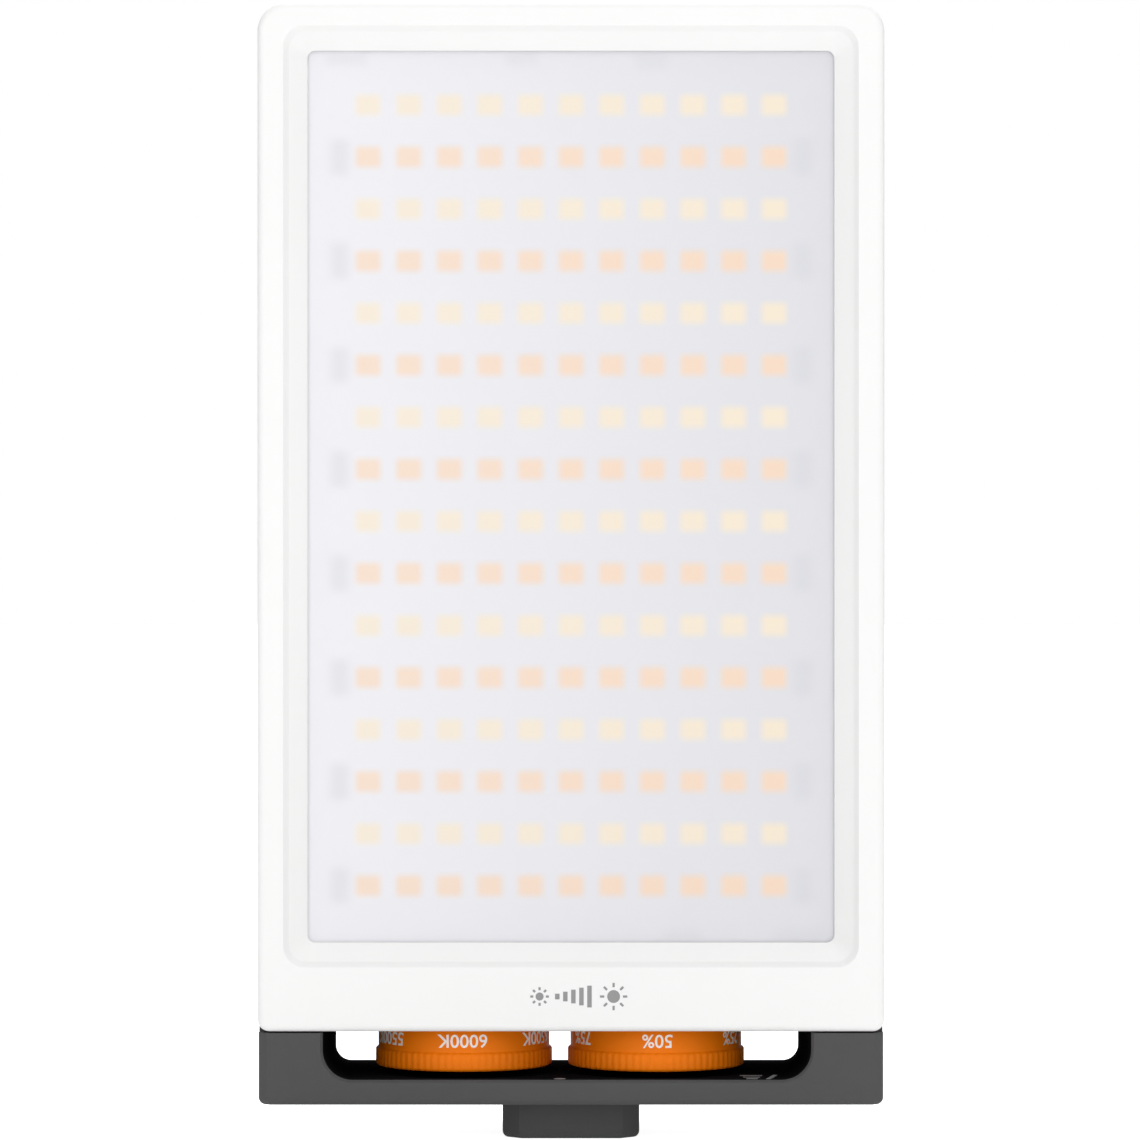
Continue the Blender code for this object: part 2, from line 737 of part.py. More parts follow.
def heat_sink():
    """Aluminium spreader over the whole board, with fins that lead the fan's air to the side slots."""
    obj = shape(
        "heat_sink",
        lambda bm: block(bm, (-36.2, PAD_BACK, 21.2), (36.2, SINK_BASE_BACK, 139.8), "Y", 1.0, 1),
        "aluminium",
    )

    def fins(bm):
        for number in range(FIN_COUNT):
            z = FIN_START + FIN_PITCH * number
            block(bm, (-35.8, PAD_BACK + 0.4, z), (35.8, FIN_BACK, z + FIN_THICKNESS))
        for x, z in FAN_SCREWS:
            rod(bm, "Y", (x, z), 2.4, PAD_BACK + 0.4, FIN_BACK + 0.2, 12)

    join(obj, fins, "fins")

    def holes(bm):
        board_screw_holes(bm)
        for x, z in FAN_SCREWS:
            rod(bm, "Y", (x, z), 1.1, -2.0, 8.0, 10)

    return cut(obj, holes, "holes")


# ---------------------------------------------------------------------------------------------------
# Fan
# ---------------------------------------------------------------------------------------------------
def fan_frame():
    """Square fan housing with a hub plate on three spokes."""
    low, high = FAN_CENTRE_Z - FAN_HALF + 0.2, FAN_CENTRE_Z + FAN_HALF - 0.2
    obj = shape(
        "fan_frame",
        lambda bm: block(bm, (-FAN_HALF, FAN_FRONT, low), (FAN_HALF, FAN_BACK, high), "Y", 2.5, 3),
        "black_plastic",
    )

    def openings(bm):
        rod(bm, "Y", (0.0, FAN_CENTRE_Z), FAN_BORE, 0.0, 15.0, 48)
        for x, z in FAN_SCREWS:
            rod(bm, "Y", (x, z), 1.25, 0.0, 15.0, 10)

    cut(obj, openings, "openings")

    def hub(bm):
        rod(bm, "Y", (0.0, FAN_CENTRE_Z), 8.6, FAN_BACK - 1.2, FAN_BACK - 0.1, 24)
        for number in range(3):
            angle = math.radians(30 + 120 * number)
            far = (19.4 * math.cos(angle), FAN_CENTRE_Z + 19.4 * math.sin(angle))
            rod_between(bm, (0.0, FAN_CENTRE_Z), far, FAN_BACK - 0.65, 0.45)

    return join(obj, hub, "hub")


def rod_between(bm, start, end, y, radius):
    """A thin rod in a plane of constant depth, between two (x, z) points."""
    a, b = Vector((start[0], y, start[1])), Vector((end[0], y, end[1]))
    turn = (b - a).to_track_quat("Z", "Y").to_matrix().to_4x4()
    bmesh.ops.create_cone(
        bm,
        cap_ends=True,
        segments=8,
        radius1=radius * MM,
        radius2=radius * MM,
        depth=(b - a).length * MM,
        matrix=Matrix.Translation((a + b) / 2 * MM) @ turn,
    )


def fan_impeller():
    """Hub with swept blades, turning about the fan's axis."""
    front, back = FAN_FRONT + 0.6, FAN_BACK - 1.6
    root, tip = 7.6, 18.0

    def corner(radius, angle, y):
        return (radius * math.cos(angle), y, FAN_CENTRE_Z + radius * math.sin(angle))

    def blades(bm):
        for number in range(BLADE_COUNT):
            sections = []
            for step in range(4):
                radius = root + (tip - root) * step / 3
                middle = 2 * math.pi * number / BLADE_COUNT + 0.16 * step
                half, thick = 0.36 * root / radius, 0.11 * root / radius
                sections.append(
                    [
                        corner(radius, middle - half, back - 0.4),
                        corner(radius, middle - half + thick, back - 0.4),
                        corner(radius, middle + half, front + 0.4),
                        corner(radius, middle + half - thick, front + 0.4),
                    ]
                )
            loft(bm, sections)

    obj = shape(
        "fan_impeller", lambda bm: rod(bm, "Y", (0.0, FAN_CENTRE_Z), 8.4, front, back, 32), "black_plastic"
    )
    return join(set_origin(obj, (0.0, back, FAN_CENTRE_Z)), blades, "blades")


# ---------------------------------------------------------------------------------------------------
# Battery
# ---------------------------------------------------------------------------------------------------
def battery_cell(which, z, direction):
    """Cylindrical lithium cell lying across the body, its raised pole pointing along direction."""
    radius, half = CELL_RADIUS, CELL_HALF_LENGTH
    profile = [
        (0.0, half + 0.6),
        (2.8, half + 0.6),
        (2.8, half - 0.3),
        (6.8, half - 0.3),
        (7.4, half),
        (radius - 0.7, half),
        (radius, half - 0.7),
        (radius, -half + 0.7),
        (radius - 0.7, -half),
        (0.0, -half),
    ]
    obj = turned(f"battery_cell_{which}", profile, "cell_wrap", "X", (0.0, CELL_Y, z), 28)
    if direction < 0:
        obj.rotation_euler = (0, -math.pi / 2, 0)
    return obj


def battery_cradle():
    """Tray with two saddles and an end wall at each side for the cells."""
    bottom, top = 91.6, 131.8
    obj = shape(
        "battery_cradle",
        lambda bm: block(bm, (-36.6, SINK_BASE_BACK + 0.3, bottom), (36.6, 1.4, top)),
        "black_plastic",
    )

    def saddles(bm):
        for z in CELL_Z.values():
            rod(bm, "X", (CELL_Y, z), CELL_RADIUS + 0.2, -33.6, 33.6, 32)

    return cut(obj, saddles, "saddles")


def cell_link():
    """Nickel strip that joins the two cells in series at the left."""
    low, high = CELL_Z["lower"], CELL_Z["upper"]
    return shape(
        "cell_link",
        lambda bm: block(bm, (-33.75, 2.6, low - 2.5), (-33.55, 8.6, high + 2.5), "X", 1.5, 3),
        "steel",
    )


# ---------------------------------------------------------------------------------------------------
# Boards and controls
# ---------------------------------------------------------------------------------------------------
def dial_board():
    """Small board that carries both potentiometers."""
    obj = shape(
        "dial_board",
        lambda bm: block(bm, (-22.0, -4.9, 24.0), (20.0, 11.5, 25.0), "Z", 1.0, 2),
        "board_green",
    )
    return join(
        obj, lambda bm: block(bm, (-8.0, 6.6, 24.6), (8.0, 9.2, 26.4)), "connector"
    )


def driver_board():
    """Main board with its larger parts: chips, capacitors and connectors."""
    obj = shape(
        "driver_board",
        lambda bm: block(bm, (-36.6, DRIVER_FRONT, 27.2), (35.3, DRIVER_BACK, 43.4), "Y", 1.0, 2),
        "board_green",
    )

    def components(bm):
        block(bm, (-20.0, DRIVER_BACK - 0.4, 31.0), (-13.0, DRIVER_BACK + 1.0, 38.0))
        block(bm, (-8.0, DRIVER_BACK - 0.4, 32.5), (-3.0, DRIVER_BACK + 0.9, 37.5))
        for x in (-27.0, -23.6, 15.6, 19.0):
            rod(bm, "Y", (x, 35.2), 1.5, DRIVER_BACK - 0.4, DRIVER_BACK + 3.6, 12)
        for x in (24.0, 30.0):
            block(bm, (x, DRIVER_BACK - 0.4, 37.4), (x + 4.6, DRIVER_BACK + 3.2, 42.6))

    return join(obj, components, "components")


def driver_inductor():
    """Shielded power inductor on the driver board."""
    return shape(
        "driver_inductor",
        lambda bm: block(bm, (1.0, DRIVER_BACK + 0.1, 30.6), (10.0, DRIVER_BACK + 4.6, 39.6), "Y", 1.4, 2),
        "thermal_grey",
    )


def usb_c_port():
    """USB-C socket: a rounded steel shell, open to the left, with its contact tongue."""

    def pill(bm, start, end, half_depth, half_height, radius):
        low = (start, USB_Y - half_depth, USB_Z - half_height)
        high = (end, USB_Y + half_depth, USB_Z + half_height)
        block(bm, low, high, "X", radius, 5)

    obj = shape("usb_c_port", lambda bm: pill(bm, -38.3, -31.0, 1.6, 4.47, 1.5), "steel")
    cut(obj, lambda bm: pill(bm, -40.0, -32.0, 1.3, 4.17, 1.2), "mouth")
    return join(obj, lambda bm: pill(bm, -37.4, -31.6, 0.35, 3.3, 0.1), "tongue")


def power_switch():
    """Side-push switch at the driver board's right edge."""
    obj = shape(
        "power_switch",
        lambda bm: block(
            bm, (29.0, BUTTON_Y - 1.75, BUTTON_Z - 3.0), (32.6, BUTTON_Y + 1.7, BUTTON_Z + 3.0)
        ),
        "black_plastic",
    )
    return cut(obj, lambda bm: rod(bm, "X", (BUTTON_Y, BUTTON_Z), 1.0, 31.0, 34.0, 16), "bore")


def power_button():
    """Round button, flush with the right side, held behind the wall by its flange."""
    top = HALF_WIDTH - 0.05
    profile = [
        (0.0, top),
        (BUTTON_RADIUS - 0.3, top),
        (BUTTON_RADIUS, top - 0.3),
        (BUTTON_RADIUS, 37.1),
        (BUTTON_RADIUS + 0.9, 37.1),
        (BUTTON_RADIUS + 0.9, 36.3),
        (1.0, 36.3),
        (1.0, 34.2),
        (0.0, 34.2),
    ]
    return turned("power_button", profile, "white_plastic", "X", (0.0, BUTTON_Y, BUTTON_Z), 24)


def switch_plunger():
    profile = [(0.0, 34.0), (0.8, 34.0), (0.8, 32.0), (0.0, 32.0)]
    return turned("switch_plunger", profile, "black_plastic", "X", (0.0, BUTTON_Y, BUTTON_Z), 12)


def battery_indicator():
    """Light pipe: four dots through the right side, on one bar."""
    obj = shape(
        "battery_indicator",
        lambda bm: block(
            bm, (35.8, BUTTON_Y - 1.0, INDICATOR_Z[0] - 0.9), (37.2, BUTTON_Y + 1.0, INDICATOR_Z[-1] + 0.7)
        ),
        "clear_plastic",
    )

    def dots(bm):
        for z in INDICATOR_Z:
            rod(bm, "X", (BUTTON_Y, z), 0.6, 36.8, HALF_WIDTH - 0.02, 12)

    return join(obj, dots, "dots")


# ---------------------------------------------------------------------------------------------------
# Fasteners and wiring
# ---------------------------------------------------------------------------------------------------
def screw(name, place, head_back, length, head_radius=1.9, shank_radius=1.0, head_height=1.0):
    """A small screw driven towards the front, placed by (x, z) and the depth of its head's outer face."""
    profile = [
        (0.0, 0.0),
        (head_radius, 0.0),
        (head_radius, -head_height),
        (shank_radius, -head_height),
        (shank_radius, -length),
        (0.0, -length),
    ]
    return turned(name, profile, "steel", "Y", (place[0], head_back, place[1]), 14)


def screws():
    for number, place in enumerate(REAR_SCREWS, 1):
        screw(f"rear_screw_{number}", place, 14.85, 8.4)
    for number, place in enumerate(FRAME_SCREWS, 1):
        screw(f"frame_screw_{number}", place, 11.25, 8.6)
    for number, place in enumerate(BOARD_SCREWS, 1):
        screw(f"board_screw_{number}", place, SINK_BASE_BACK + 0.9, 4.9, 1.5, 0.8, 0.8)
    for number, place in enumerate(FAN_SCREWS, 1):
        screw(f"fan_screw_{number}", place, FAN_BACK + 1.1, 11.0)


def wiring():
    """Wires held inside the housing, each from its terminal to the driver board or back."""
    from_plus = [(33.8, 3.8, 102.2), (35.5, 4.6, 99.5), (35.2, 7.5, 92.0), (32.0, 8.2, 80.0)]
    to_red_pad = [(30.0, 8.2, 62.0), (29.6, 8.2, 50.0), (31.6, 7.9, 43.1)]
    wire("battery_lead_red", from_plus + to_red_pad, 0.7, "red_wire")
    from_minus = [(33.4, 3.8, 121.2), (35.6, 5.0, 117.0), (35.6, 9.6, 106.0), (35.2, 10.0, 92.0)]
    to_black_pad = [(33.4, 10.0, 70.0), (32.0, 9.9, 50.0), (33.4, 8.6, 43.1)]
    wire("battery_lead_black", from_minus + to_black_pad, 0.7, "black_wire")
    under_edge = [(-30.0, -7.8, 20.2), (-30.0, -5.4, 19.8), (-30.0, -2.6, 21.6), (-29.4, 1.4, 24.6)]
    wire("led_feed", under_edge + [(-28.0, 3.9, 29.0)], 0.6, "white_wire")
    from_fan = [(21.0, 8.0, 54.0), (23.0, 8.0, 51.5), (25.4, 8.0, 47.5), (26.2, 8.0, 43.1)]
    wire("fan_lead", from_fan, 0.6, "black_wire")


def build():
    front_housing()
    rear_cover()
    end_frame()
    tripod_insert()
    for name, x in DIAL_AXES.items():
        dial(name, x)
        dial_shaft(name, x)
        potentiometer(name, x)
    diffuser()
    light_box_frame()
    led_board()
    bus = LED_PITCH_X * (LED_COLUMNS - 1) / 2 + 2.4
    led_array("cool_led_array", 1, -bus, "cool_phosphor")
    led_array("warm_led_array", 0, bus, "warm_phosphor")
    thermal_pad()
    heat_sink()
    fan_frame()
    fan_impeller()
    battery_cell("lower", CELL_Z["lower"], 1)
    battery_cell("upper", CELL_Z["upper"], -1)
    battery_cradle()
    cell_link()
    dial_board()
    driver_board()
    driver_inductor()
    usb_c_port()
    power_switch()
    power_button()
    switch_plunger()
    battery_indicator()
    screws()
    wiring()


build()
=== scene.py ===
"""Looks of the pocket LED panel light: its visible pieces, their materials, the light and the camera.

Sizes are in millimetres, turned into metres by MM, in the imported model's own frame: +X is to the right seen
from the front, +Y runs to the back and +Z is up.
"""

import math

import bmesh
import bpy
from mathutils import Matrix, Vector


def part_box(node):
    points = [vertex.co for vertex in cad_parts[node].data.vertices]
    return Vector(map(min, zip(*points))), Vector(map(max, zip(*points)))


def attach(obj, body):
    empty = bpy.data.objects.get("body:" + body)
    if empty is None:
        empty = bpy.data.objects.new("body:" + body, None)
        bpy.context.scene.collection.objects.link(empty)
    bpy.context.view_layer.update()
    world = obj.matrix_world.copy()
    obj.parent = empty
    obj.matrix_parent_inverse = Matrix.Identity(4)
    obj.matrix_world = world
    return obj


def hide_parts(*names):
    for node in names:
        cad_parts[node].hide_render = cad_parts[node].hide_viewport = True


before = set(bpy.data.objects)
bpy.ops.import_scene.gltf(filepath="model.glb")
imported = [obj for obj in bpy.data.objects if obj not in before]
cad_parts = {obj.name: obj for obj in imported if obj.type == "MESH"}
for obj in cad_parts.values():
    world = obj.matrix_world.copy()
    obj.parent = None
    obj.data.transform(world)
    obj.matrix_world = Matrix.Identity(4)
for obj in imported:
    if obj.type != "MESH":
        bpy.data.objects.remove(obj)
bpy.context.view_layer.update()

MM = 0.001
PAST = 1.0  # how far a cutting shape reaches past what it cuts
SHARP_ANGLE = math.radians(32)
BODY = "light_body"


def extent(node):
    """A CAD node's lowest and highest corner in millimetres."""
    low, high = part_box(node)
    return low / MM, high / MM


HOUSING_LOW, HOUSING_HIGH = extent("front_housing")
COVER_LOW, COVER_HIGH = extent("rear_cover")
FRAME_LOW, FRAME_HIGH = extent("end_frame")

# Body outline
HALF_WIDTH = COVER_HIGH.x
BODY_BOTTOM = COVER_LOW.z
BODY_TOP = COVER_HIGH.z
PRINT_THICKNESS = 0.02
FRONT = HOUSING_LOW.y + PRINT_THICKNESS
SEAM = HOUSING_HIGH.y
BACK = COVER_HIGH.y
COVER_INNER = SEAM + 0.1
CORNER_RADIUS = 3.6
LOWER_CORNER_RADIUS = 1.5
EDGE_RADIUS = 0.9
WALL = 1.6
CAVITY_FRONT = -12.4
CAVITY_BOTTOM = 5.0

# Recess of the light window, front to back: margin round the opening, Y and corner radius
OPENING = {"left": -32.85, "right": 32.85, "bottom": 24.95, "top": 136.15}
RECESS_STEPS = (
    (2.95, HOUSING_LOW.y - 0.5, 2.7),
    (2.95, FRONT, 2.7),
    (2.8, FRONT + 0.12, 2.6),
    (2.4, -14.15, 2.35),
    (2.2, -14.0, 2.2),
    (0.0, -12.8, 1.0),
    (0.0, -11.4, 1.0),
)

# Cooling ribs and slots
RIB_PITCH = 3.511
RIB_WIDTH = 1.7
RIB_HALF_LENGTH = 9.5
SIDE_RIBS = 23
SIDE_RIBS_START = 48.9
TOP_RIBS = 17
SLOT_WIDTH = 1.1
SLOT_FRONT = -5.7
SLOT_BACK = 8.7
RIB_ROOT = 0.5
END_FLAT = 0.05  # half the flat left between the rounded corners of a rib or slot

# End frame
FRAME_HALF_WIDTH = FRAME_HIGH.x
FRAME_HALF_DEPTH = 14.4
FRAME_EDGE_CHAMFER = 1.1
BAR_BOTTOM = 4.8
SHOULDER_TOP = 16.1
SHOULDER_FRONT = -12.1
SHOULDER_INNER = 34.0
SHOULDER_GAP = 0.2
TONGUE = {"half_width": 37.2, "front": -12.2, "back": 13.0, "top": 17.2}
FRAME_TOP = BODY_BOTTOM - 0.2
WEB_BOTTOM = 14.8
WINDOW = {"left": -30.9, "right": 29.9, "floor_front": 7.95, "floor_back": 7.75, "taper": 0.4}
WINDOW_STEPS = (  # front to back: Y, inset at both sides, Z of the floor and radius of its corners
    (FRAME_LOW.y - 0.4, -0.35, WINDOW["floor_front"] - 0.3, 4.0),
    (FRAME_LOW.y, -0.3, WINDOW["floor_front"] - 0.3, 4.0),
    (FRAME_LOW.y + 0.4, 0.0, WINDOW["floor_front"], 3.7),
    (FRAME_HALF_DEPTH, WINDOW["taper"], WINDOW["floor_back"], 2.0),
    (FRAME_HALF_DEPTH + 0.4, WINDOW["taper"], WINDOW["floor_back"], 2.0),
)
WINDOW_TOP_RADIUS = 0.8
BOTTOM_ROUNDING = 0.85
BOSS_HALF_WIDTH = 8.6
BOSS_ROUNDING = 0.8
BOSS_CHAMFER = 2.1
INSERT_RADIUS = 4.6
INSERT_HOLE_TOP = 7.0
THREAD_RADIUS = 3.175
THREAD_DEPTH = 0.55
THREAD_PITCH = 1.27
THREAD_MOUTH = 0.4
THREAD_CHAMFER = 0.45

# Dials
DIAL_AXES = {"cct": -13.6, "brightness": 10.8}
DIAL_LABELS = {
    "cct": ("6500K", "6000K", "5500K", "4500K", "3500K", "2700K"),
    "brightness": ("0%", "25%", "50%", "75%", "100%"),
}
LABEL_AT_FRONT = {"cct": "6000K", "brightness": "50%"}
LABEL_STEP = math.radians(60)
LABEL_HEIGHT = 1.7
LABEL_Z = 12.45
GRIP_RADIUS = 11.2
SCALE_RADIUS = 10.87
GRIP_RIBS = 76
GRIP_RIB_DEPTH = 0.07
POCKET_RADIUS = 11.9
POCKET_FLOOR = 7.6
POCKET_TOP = 9.5
GRIP_TOP = 10.85
GRIP_ROUNDING = 0.45
SHAFT_BORE = {"radius": 1.56, "start": 9.6}
SHAFT_HOLE_RADIUS = 3.5
LABEL_ADVANCE = 1.27  # width of one character

# Light engine
LED_COLUMNS = 11
LED_ROWS = 16
LED_PITCH_X = 5.09
LED_PITCH_Z = 6.527
LED_FIRST_ROW = 31.8
LED_WIDTH = 3.5
BOARD_FRONT = -8.4
STRIP_HALF_HEIGHT = 1.3
STRIP_THICKNESS = 0.12
SIDE_CHIP = {"x": 29.7, "above_row": 0.4, "half_x": 1.12, "half_z": 2.0, "rise": 0.52}
EDGE_CHIPS = (  # X, Z and half sizes of the larger parts at the board's ends
    (-10.0, 135.2, 1.6, 0.9),
    (-4.6, 135.0, 1.5, 0.9),
    (11.8, 134.2, 1.6, 1.0),
    (13.8, 25.9, 3.0, 0.8),
    (30.2, 26.1, 2.4, 0.9),
)
EDGE_CHIP_RISE = 0.6

# Side controls and back
BUTTON_Y = 3.2
BUTTON_Z = 31.0
BUTTON_RADIUS = 3.0
BUTTON_GAP = 0.2
BUTTON_FLANGE = {"radius": 3.9, "start": 36.3, "end": 37.1}
INDICATOR_RADIUS = 0.7
SIDE_HOLE = (36.0, 41.0)  # from inside the wall to outside the ribs, in X
INDICATOR_Z = tuple(36.4 + 2.2 * step for step in range(4))
USB_Y = 3.35
USB_Z = 33.0
USB_HALF_SIZE = (1.9, 4.75)  # in Y and Z
USB_ROUNDING = 1.8
USB_CONTACTS = 12
USB_CONTACT_PITCH = 0.5
USB_CONTACT = {"start": -37.2, "end": -33.0, "half_width": 0.13, "inner": 0.33, "outer": 0.39}
FAN_CENTRE_Z = 69.5
FAN_BORE = 18.7
GRILLE_SLOTS = 11
GRILLE_PITCH = 3.4
GRILLE_HALF_SLOT = 0.9
COVER_CUT = (10.0, 20.0)  # from inside the cover to behind it, in Y
SCREW_HOLE_RADIUS = 1.25
SCREW_SINK_RADIUS = 2.25
SCREW_SINK_FLOOR = 13.85
REAR_SCREWS = ((-35.4, 46.2), (35.4, 46.2), (-35.4, 136.0), (35.4, 136.0))

# Printed marks: the front symbol, and the signs on the window's floor
MARK_Z = 18.4
MARK_SUNS = ((-3.9, 0.5, 1.15), (5.3, 0.8, 1.7))  # X, radius and reach of the rays
MARK_RAYS = 8
MARK_RAY_START = 0.68  # as a part of the reach
MARK_RAY_HALF_WIDTH = 0.14
MARK_BARS = 5
MARK_FIRST_BAR_X = -1.7
MARK_BAR_HALF_WIDTH = 0.28
MARK_BAR_HALF_HEIGHTS = (0.35, 0.25)  # of the first bar, and what each next one adds
FLOOR_DISC = (-1.4, -12.6, 0.75)  # X, Y and radius
FLOOR_BARS_X = 22.6
FLOOR_BARS_Y = (-12.6, -10.4, -8.2)
FLOOR_BAR_HALF_WIDTHS = (0.7, 0.35)
FLOOR_BAR_HALF_DEPTH = 0.4
FLOOR_STROKE = ((24.3, -13.0), (24.9, -13.0), (26.0, -7.4), (25.4, -7.4))
POWER_ARC = {"start": 125, "sweep": 290, "steps": 20, "outer": 1.35, "inner": 1.1}
POWER_BAR = ((-0.13, 0.4), (0.13, 0.4), (0.13, 1.6), (-0.13, 1.6))

# Lights and floor
SURROUND_BASE = 0.1
SURROUND_LIGHTS = (  # direction towards the light, cosine at its edge, and strength
    ((0.14, -1.0, 0.2), 0.35, 1.0),
    ((-0.3, -1.0, 0.05), 0.8, 0.52),
    ((0.0, -0.1, 1.0), 0.2, 0.8),
    ((0.1, 0.7, 0.8), 0.6, 1.4),
)
FLOOR_HALF_SIZE = 6.0  # metres
FLOOR_GAP = 0.02
FLOOR_GLOW_SEEN = 0.92  # what the floor adds to its own light, as seen and on the object
FLOOR_GLOW_LIGHT = 0.29

# Painted onto the milky sheet: the light of the LEDs and the shade of the parts behind it, a falloff from a
# lighter left to a darker right, and shadows at its ends
SHEET_TRANSMISSION = 0.22
# Painted light and shade: the sheet's colour at its left, lighter, and at its right, darker, as the light
# falls across it
SHEET_PAINTED_LIGHT_LEFT = (0.95, 0.945, 0.985)
SHEET_PAINTED_SHADE_RIGHT = (0.82, 0.82, 0.86)
SHEET_OVER_COOL = (1.0, 0.895, 0.73)
SHEET_OVER_WARM = (1.0, 0.785, 0.62)
SHEET_SHADE = (0.72, 0.73, 0.77)
SPOT_PITCH_X = 5.066
SPOT_PITCH_Z = 6.496
SPOT_FIRST_ROW = 32.0
SPOT_WIDTH = 3.05
SPOT_HEIGHT = 2.55
SPOT_BLUR = 0.7
LED_STRENGTH = (0.8, 1.0)  # at the left and the right side
RESISTOR_X = 28.9
RESISTOR_HALF_SIZE = (1.2, 2.3)
RESISTOR_BLUR = 1.1
RESISTOR_STRENGTH = 0.4
PAINTED_SHADOWS = (  # X, Z and half sizes of painted shadows at the sheet's ends, of the parts behind them
    (13.7, 25.7, 2.4, 0.8),
    (28.8, 25.9, 3.2, 0.8),
    (-28.0, 135.2, 2.6, 0.9),
    (-6.2, 135.2, 2.0, 0.9),
    (10.0, 134.9, 2.0, 1.1),
)
PAINTED_SHADOW_BLUR = 0.9
PAINTED_SHADOW_STRENGTH = 0.25

# Camera
CAMERA_PLACE = (-0.12, -655.0, 71.4)
CAMERA_FOV = math.radians(12.63)


# ------ Materials ------
def new_material(name, colour, roughness, metallic=0.0, **sockets):
    """A Principled material. Returns it with its node tree's nodes, links and shader."""
    material = bpy.data.materials.new(name)
    material.use_nodes = True
    material.diffuse_color = (*colour, 1.0)
    nodes, links = material.node_tree.nodes, material.node_tree.links
    shader = nodes["Principled BSDF"]
    shader.inputs["Base Color"].default_value = (*colour, 1.0)
    shader.inputs["Roughness"].default_value = roughness
    shader.inputs["Metallic"].default_value = metallic
    for socket, value in sockets.items():
        shader.inputs[socket.replace("_", " ")].default_value = value
    return material, nodes, links, shader


def noise(nodes, links, scale, detail=3.0, stretch=(1.0, 1.0, 1.0)):
    """Noise in the object's own coordinates; scale is in cells per metre."""
    place = nodes.new("ShaderNodeTexCoord")
    mapping = nodes.new("ShaderNodeMapping")
    mapping.inputs["Scale"].default_value = stretch
    texture = nodes.new("ShaderNodeTexNoise")
    texture.inputs["Scale"].default_value = scale
    texture.inputs["Detail"].default_value = detail
    links.new(place.outputs["Object"], mapping.inputs["Vector"])
    links.new(mapping.outputs["Vector"], texture.inputs["Vector"])
    return texture.outputs["Fac"]


def maths(nodes, links, operation, *values):
    """A Math node on values that are sockets or numbers."""
    node = nodes.new("ShaderNodeMath")
    node.operation = operation
    for socket, value in zip(node.inputs, values):
        if isinstance(value, float):
            socket.default_value = value
        else:
            links.new(value, socket)
    return node.outputs["Value"]


def ramp(nodes, links, value, start, end, low, high, smooth=False):
    """Maps a value from start..end to low..high."""
    remap = nodes.new("ShaderNodeMapRange")
    remap.interpolation_type = "SMOOTHSTEP" if smooth else "LINEAR"
    remap.inputs["From Min"].default_value = start
    remap.inputs["From Max"].default_value = end
    remap.inputs["To Min"].default_value = low
    remap.inputs["To Max"].default_value = high
    links.new(value, remap.inputs["Value"])
    return remap.outputs["Result"]


def blend(nodes, links, factor, first, second):
    """Mixes two colours, each a socket or a tuple."""
    mix = nodes.new("ShaderNodeMix")
    mix.data_type = "RGBA"
    links.new(factor, mix.inputs["Factor"])
    for name, colour in (("A", first), ("B", second)):
        if isinstance(colour, tuple):
            mix.inputs[name].default_value = (*colour, 1.0)
        else:
            links.new(colour, mix.inputs[name])
    return mix.outputs["Result"]


def vary_colour(nodes, links, shader, factor, colour, amount):
    """Lets the base colour drift by a fraction of itself with a texture."""
    darker = tuple(channel * (1.0 - amount) for channel in colour)
    lighter = tuple(min(channel * (1.0 + amount), 1.0) for channel in colour)
    links.new(blend(nodes, links, factor, darker, lighter), shader.inputs["Base Color"])


def vary_roughness(nodes, links, shader, factor, low, high):
    """Lets the roughness follow the middle part of a noise texture's range."""
    links.new(ramp(nodes, links, factor, 0.3, 0.7, low, high), shader.inputs["Roughness"])


def add_bump(nodes, links, shader, height, depth_mm):
    """Raises the surface by up to a depth where the height is one."""
    bump = nodes.new("ShaderNodeBump")
    bump.inputs["Strength"].default_value = 1.0
    bump.inputs["Distance"].default_value = depth_mm * MM
    links.new(height, bump.inputs["Height"])
    links.new(bump.outputs["Normal"], shader.inputs["Normal"])


def moulded(name, colour, roughness, grain_mm=0.35, grain_depth=0.006, drift=0.02, **sockets):
    """Injection-moulded plastic: spark-eroded grain, slow drift in colour, and uneven gloss."""
    material, nodes, links, shader = new_material(name, colour, roughness, **sockets)
    broad = noise(nodes, links, 40.0, 2.0)
    vary_colour(nodes, links, shader, broad, colour, drift)
    gloss = noise(nodes, links, 220.0, 4.0)
    vary_roughness(nodes, links, shader, gloss, roughness * 0.88, roughness * 1.12)
    grain = noise(nodes, links, 1.0 / (grain_mm * MM), 2.0)
    add_bump(nodes, links, shader, grain, grain_depth)
    return material


def metal(name, colour, roughness, stretch=(1.0, 1.0, 1.0)):
    """Metal with fine tool or brush marks, drawn out along the axis with the smallest stretch."""
    material, nodes, links, shader = new_material(name, colour, roughness, 1.0)
    marks = noise(nodes, links, 900.0, 4.0, stretch)
    vary_colour(nodes, links, shader, noise(nodes, links, 120.0), colour, 0.05)
    vary_roughness(nodes, links, shader, marks, roughness * 0.75, roughness * 1.3)
    add_bump(nodes, links, shader, marks, 0.004)
    return material


def circuit_board(name, mask, copper, scale=260.0):
    """Solder mask with the slightly raised, lighter lines of the copper below it."""
    material, nodes, links, shader = new_material(name, mask, 0.35)
    place = nodes.new("ShaderNodeTexCoord")
    cells = nodes.new("ShaderNodeTexVoronoi")
    cells.feature = "DISTANCE_TO_EDGE"
    cells.inputs["Scale"].default_value = scale
    links.new(place.outputs["Object"], cells.inputs["Vector"])
    lines = ramp(nodes, links, cells.outputs["Distance"], 0.04, 0.07, 1.0, 0.0)
    links.new(blend(nodes, links, lines, mask, copper), shader.inputs["Base Color"])
    add_bump(nodes, links, shader, lines, 0.03)
    return material


def blurred_spot(nodes, links, x, z, half_x, half_z, blur):
    """One inside a rectangle, and nought beyond its blurred edge. x and z are distances from its middle."""
    fades = []
    for distance, half in ((x, half_x), (z, half_z)):
        away = maths(nodes, links, "ABSOLUTE", distance)
        fades.append(ramp(nodes, links, away, (half - blur) * MM, (half + blur) * MM, 1.0, 0.0, True))
    return maths(nodes, links, "MULTIPLY", *fades)


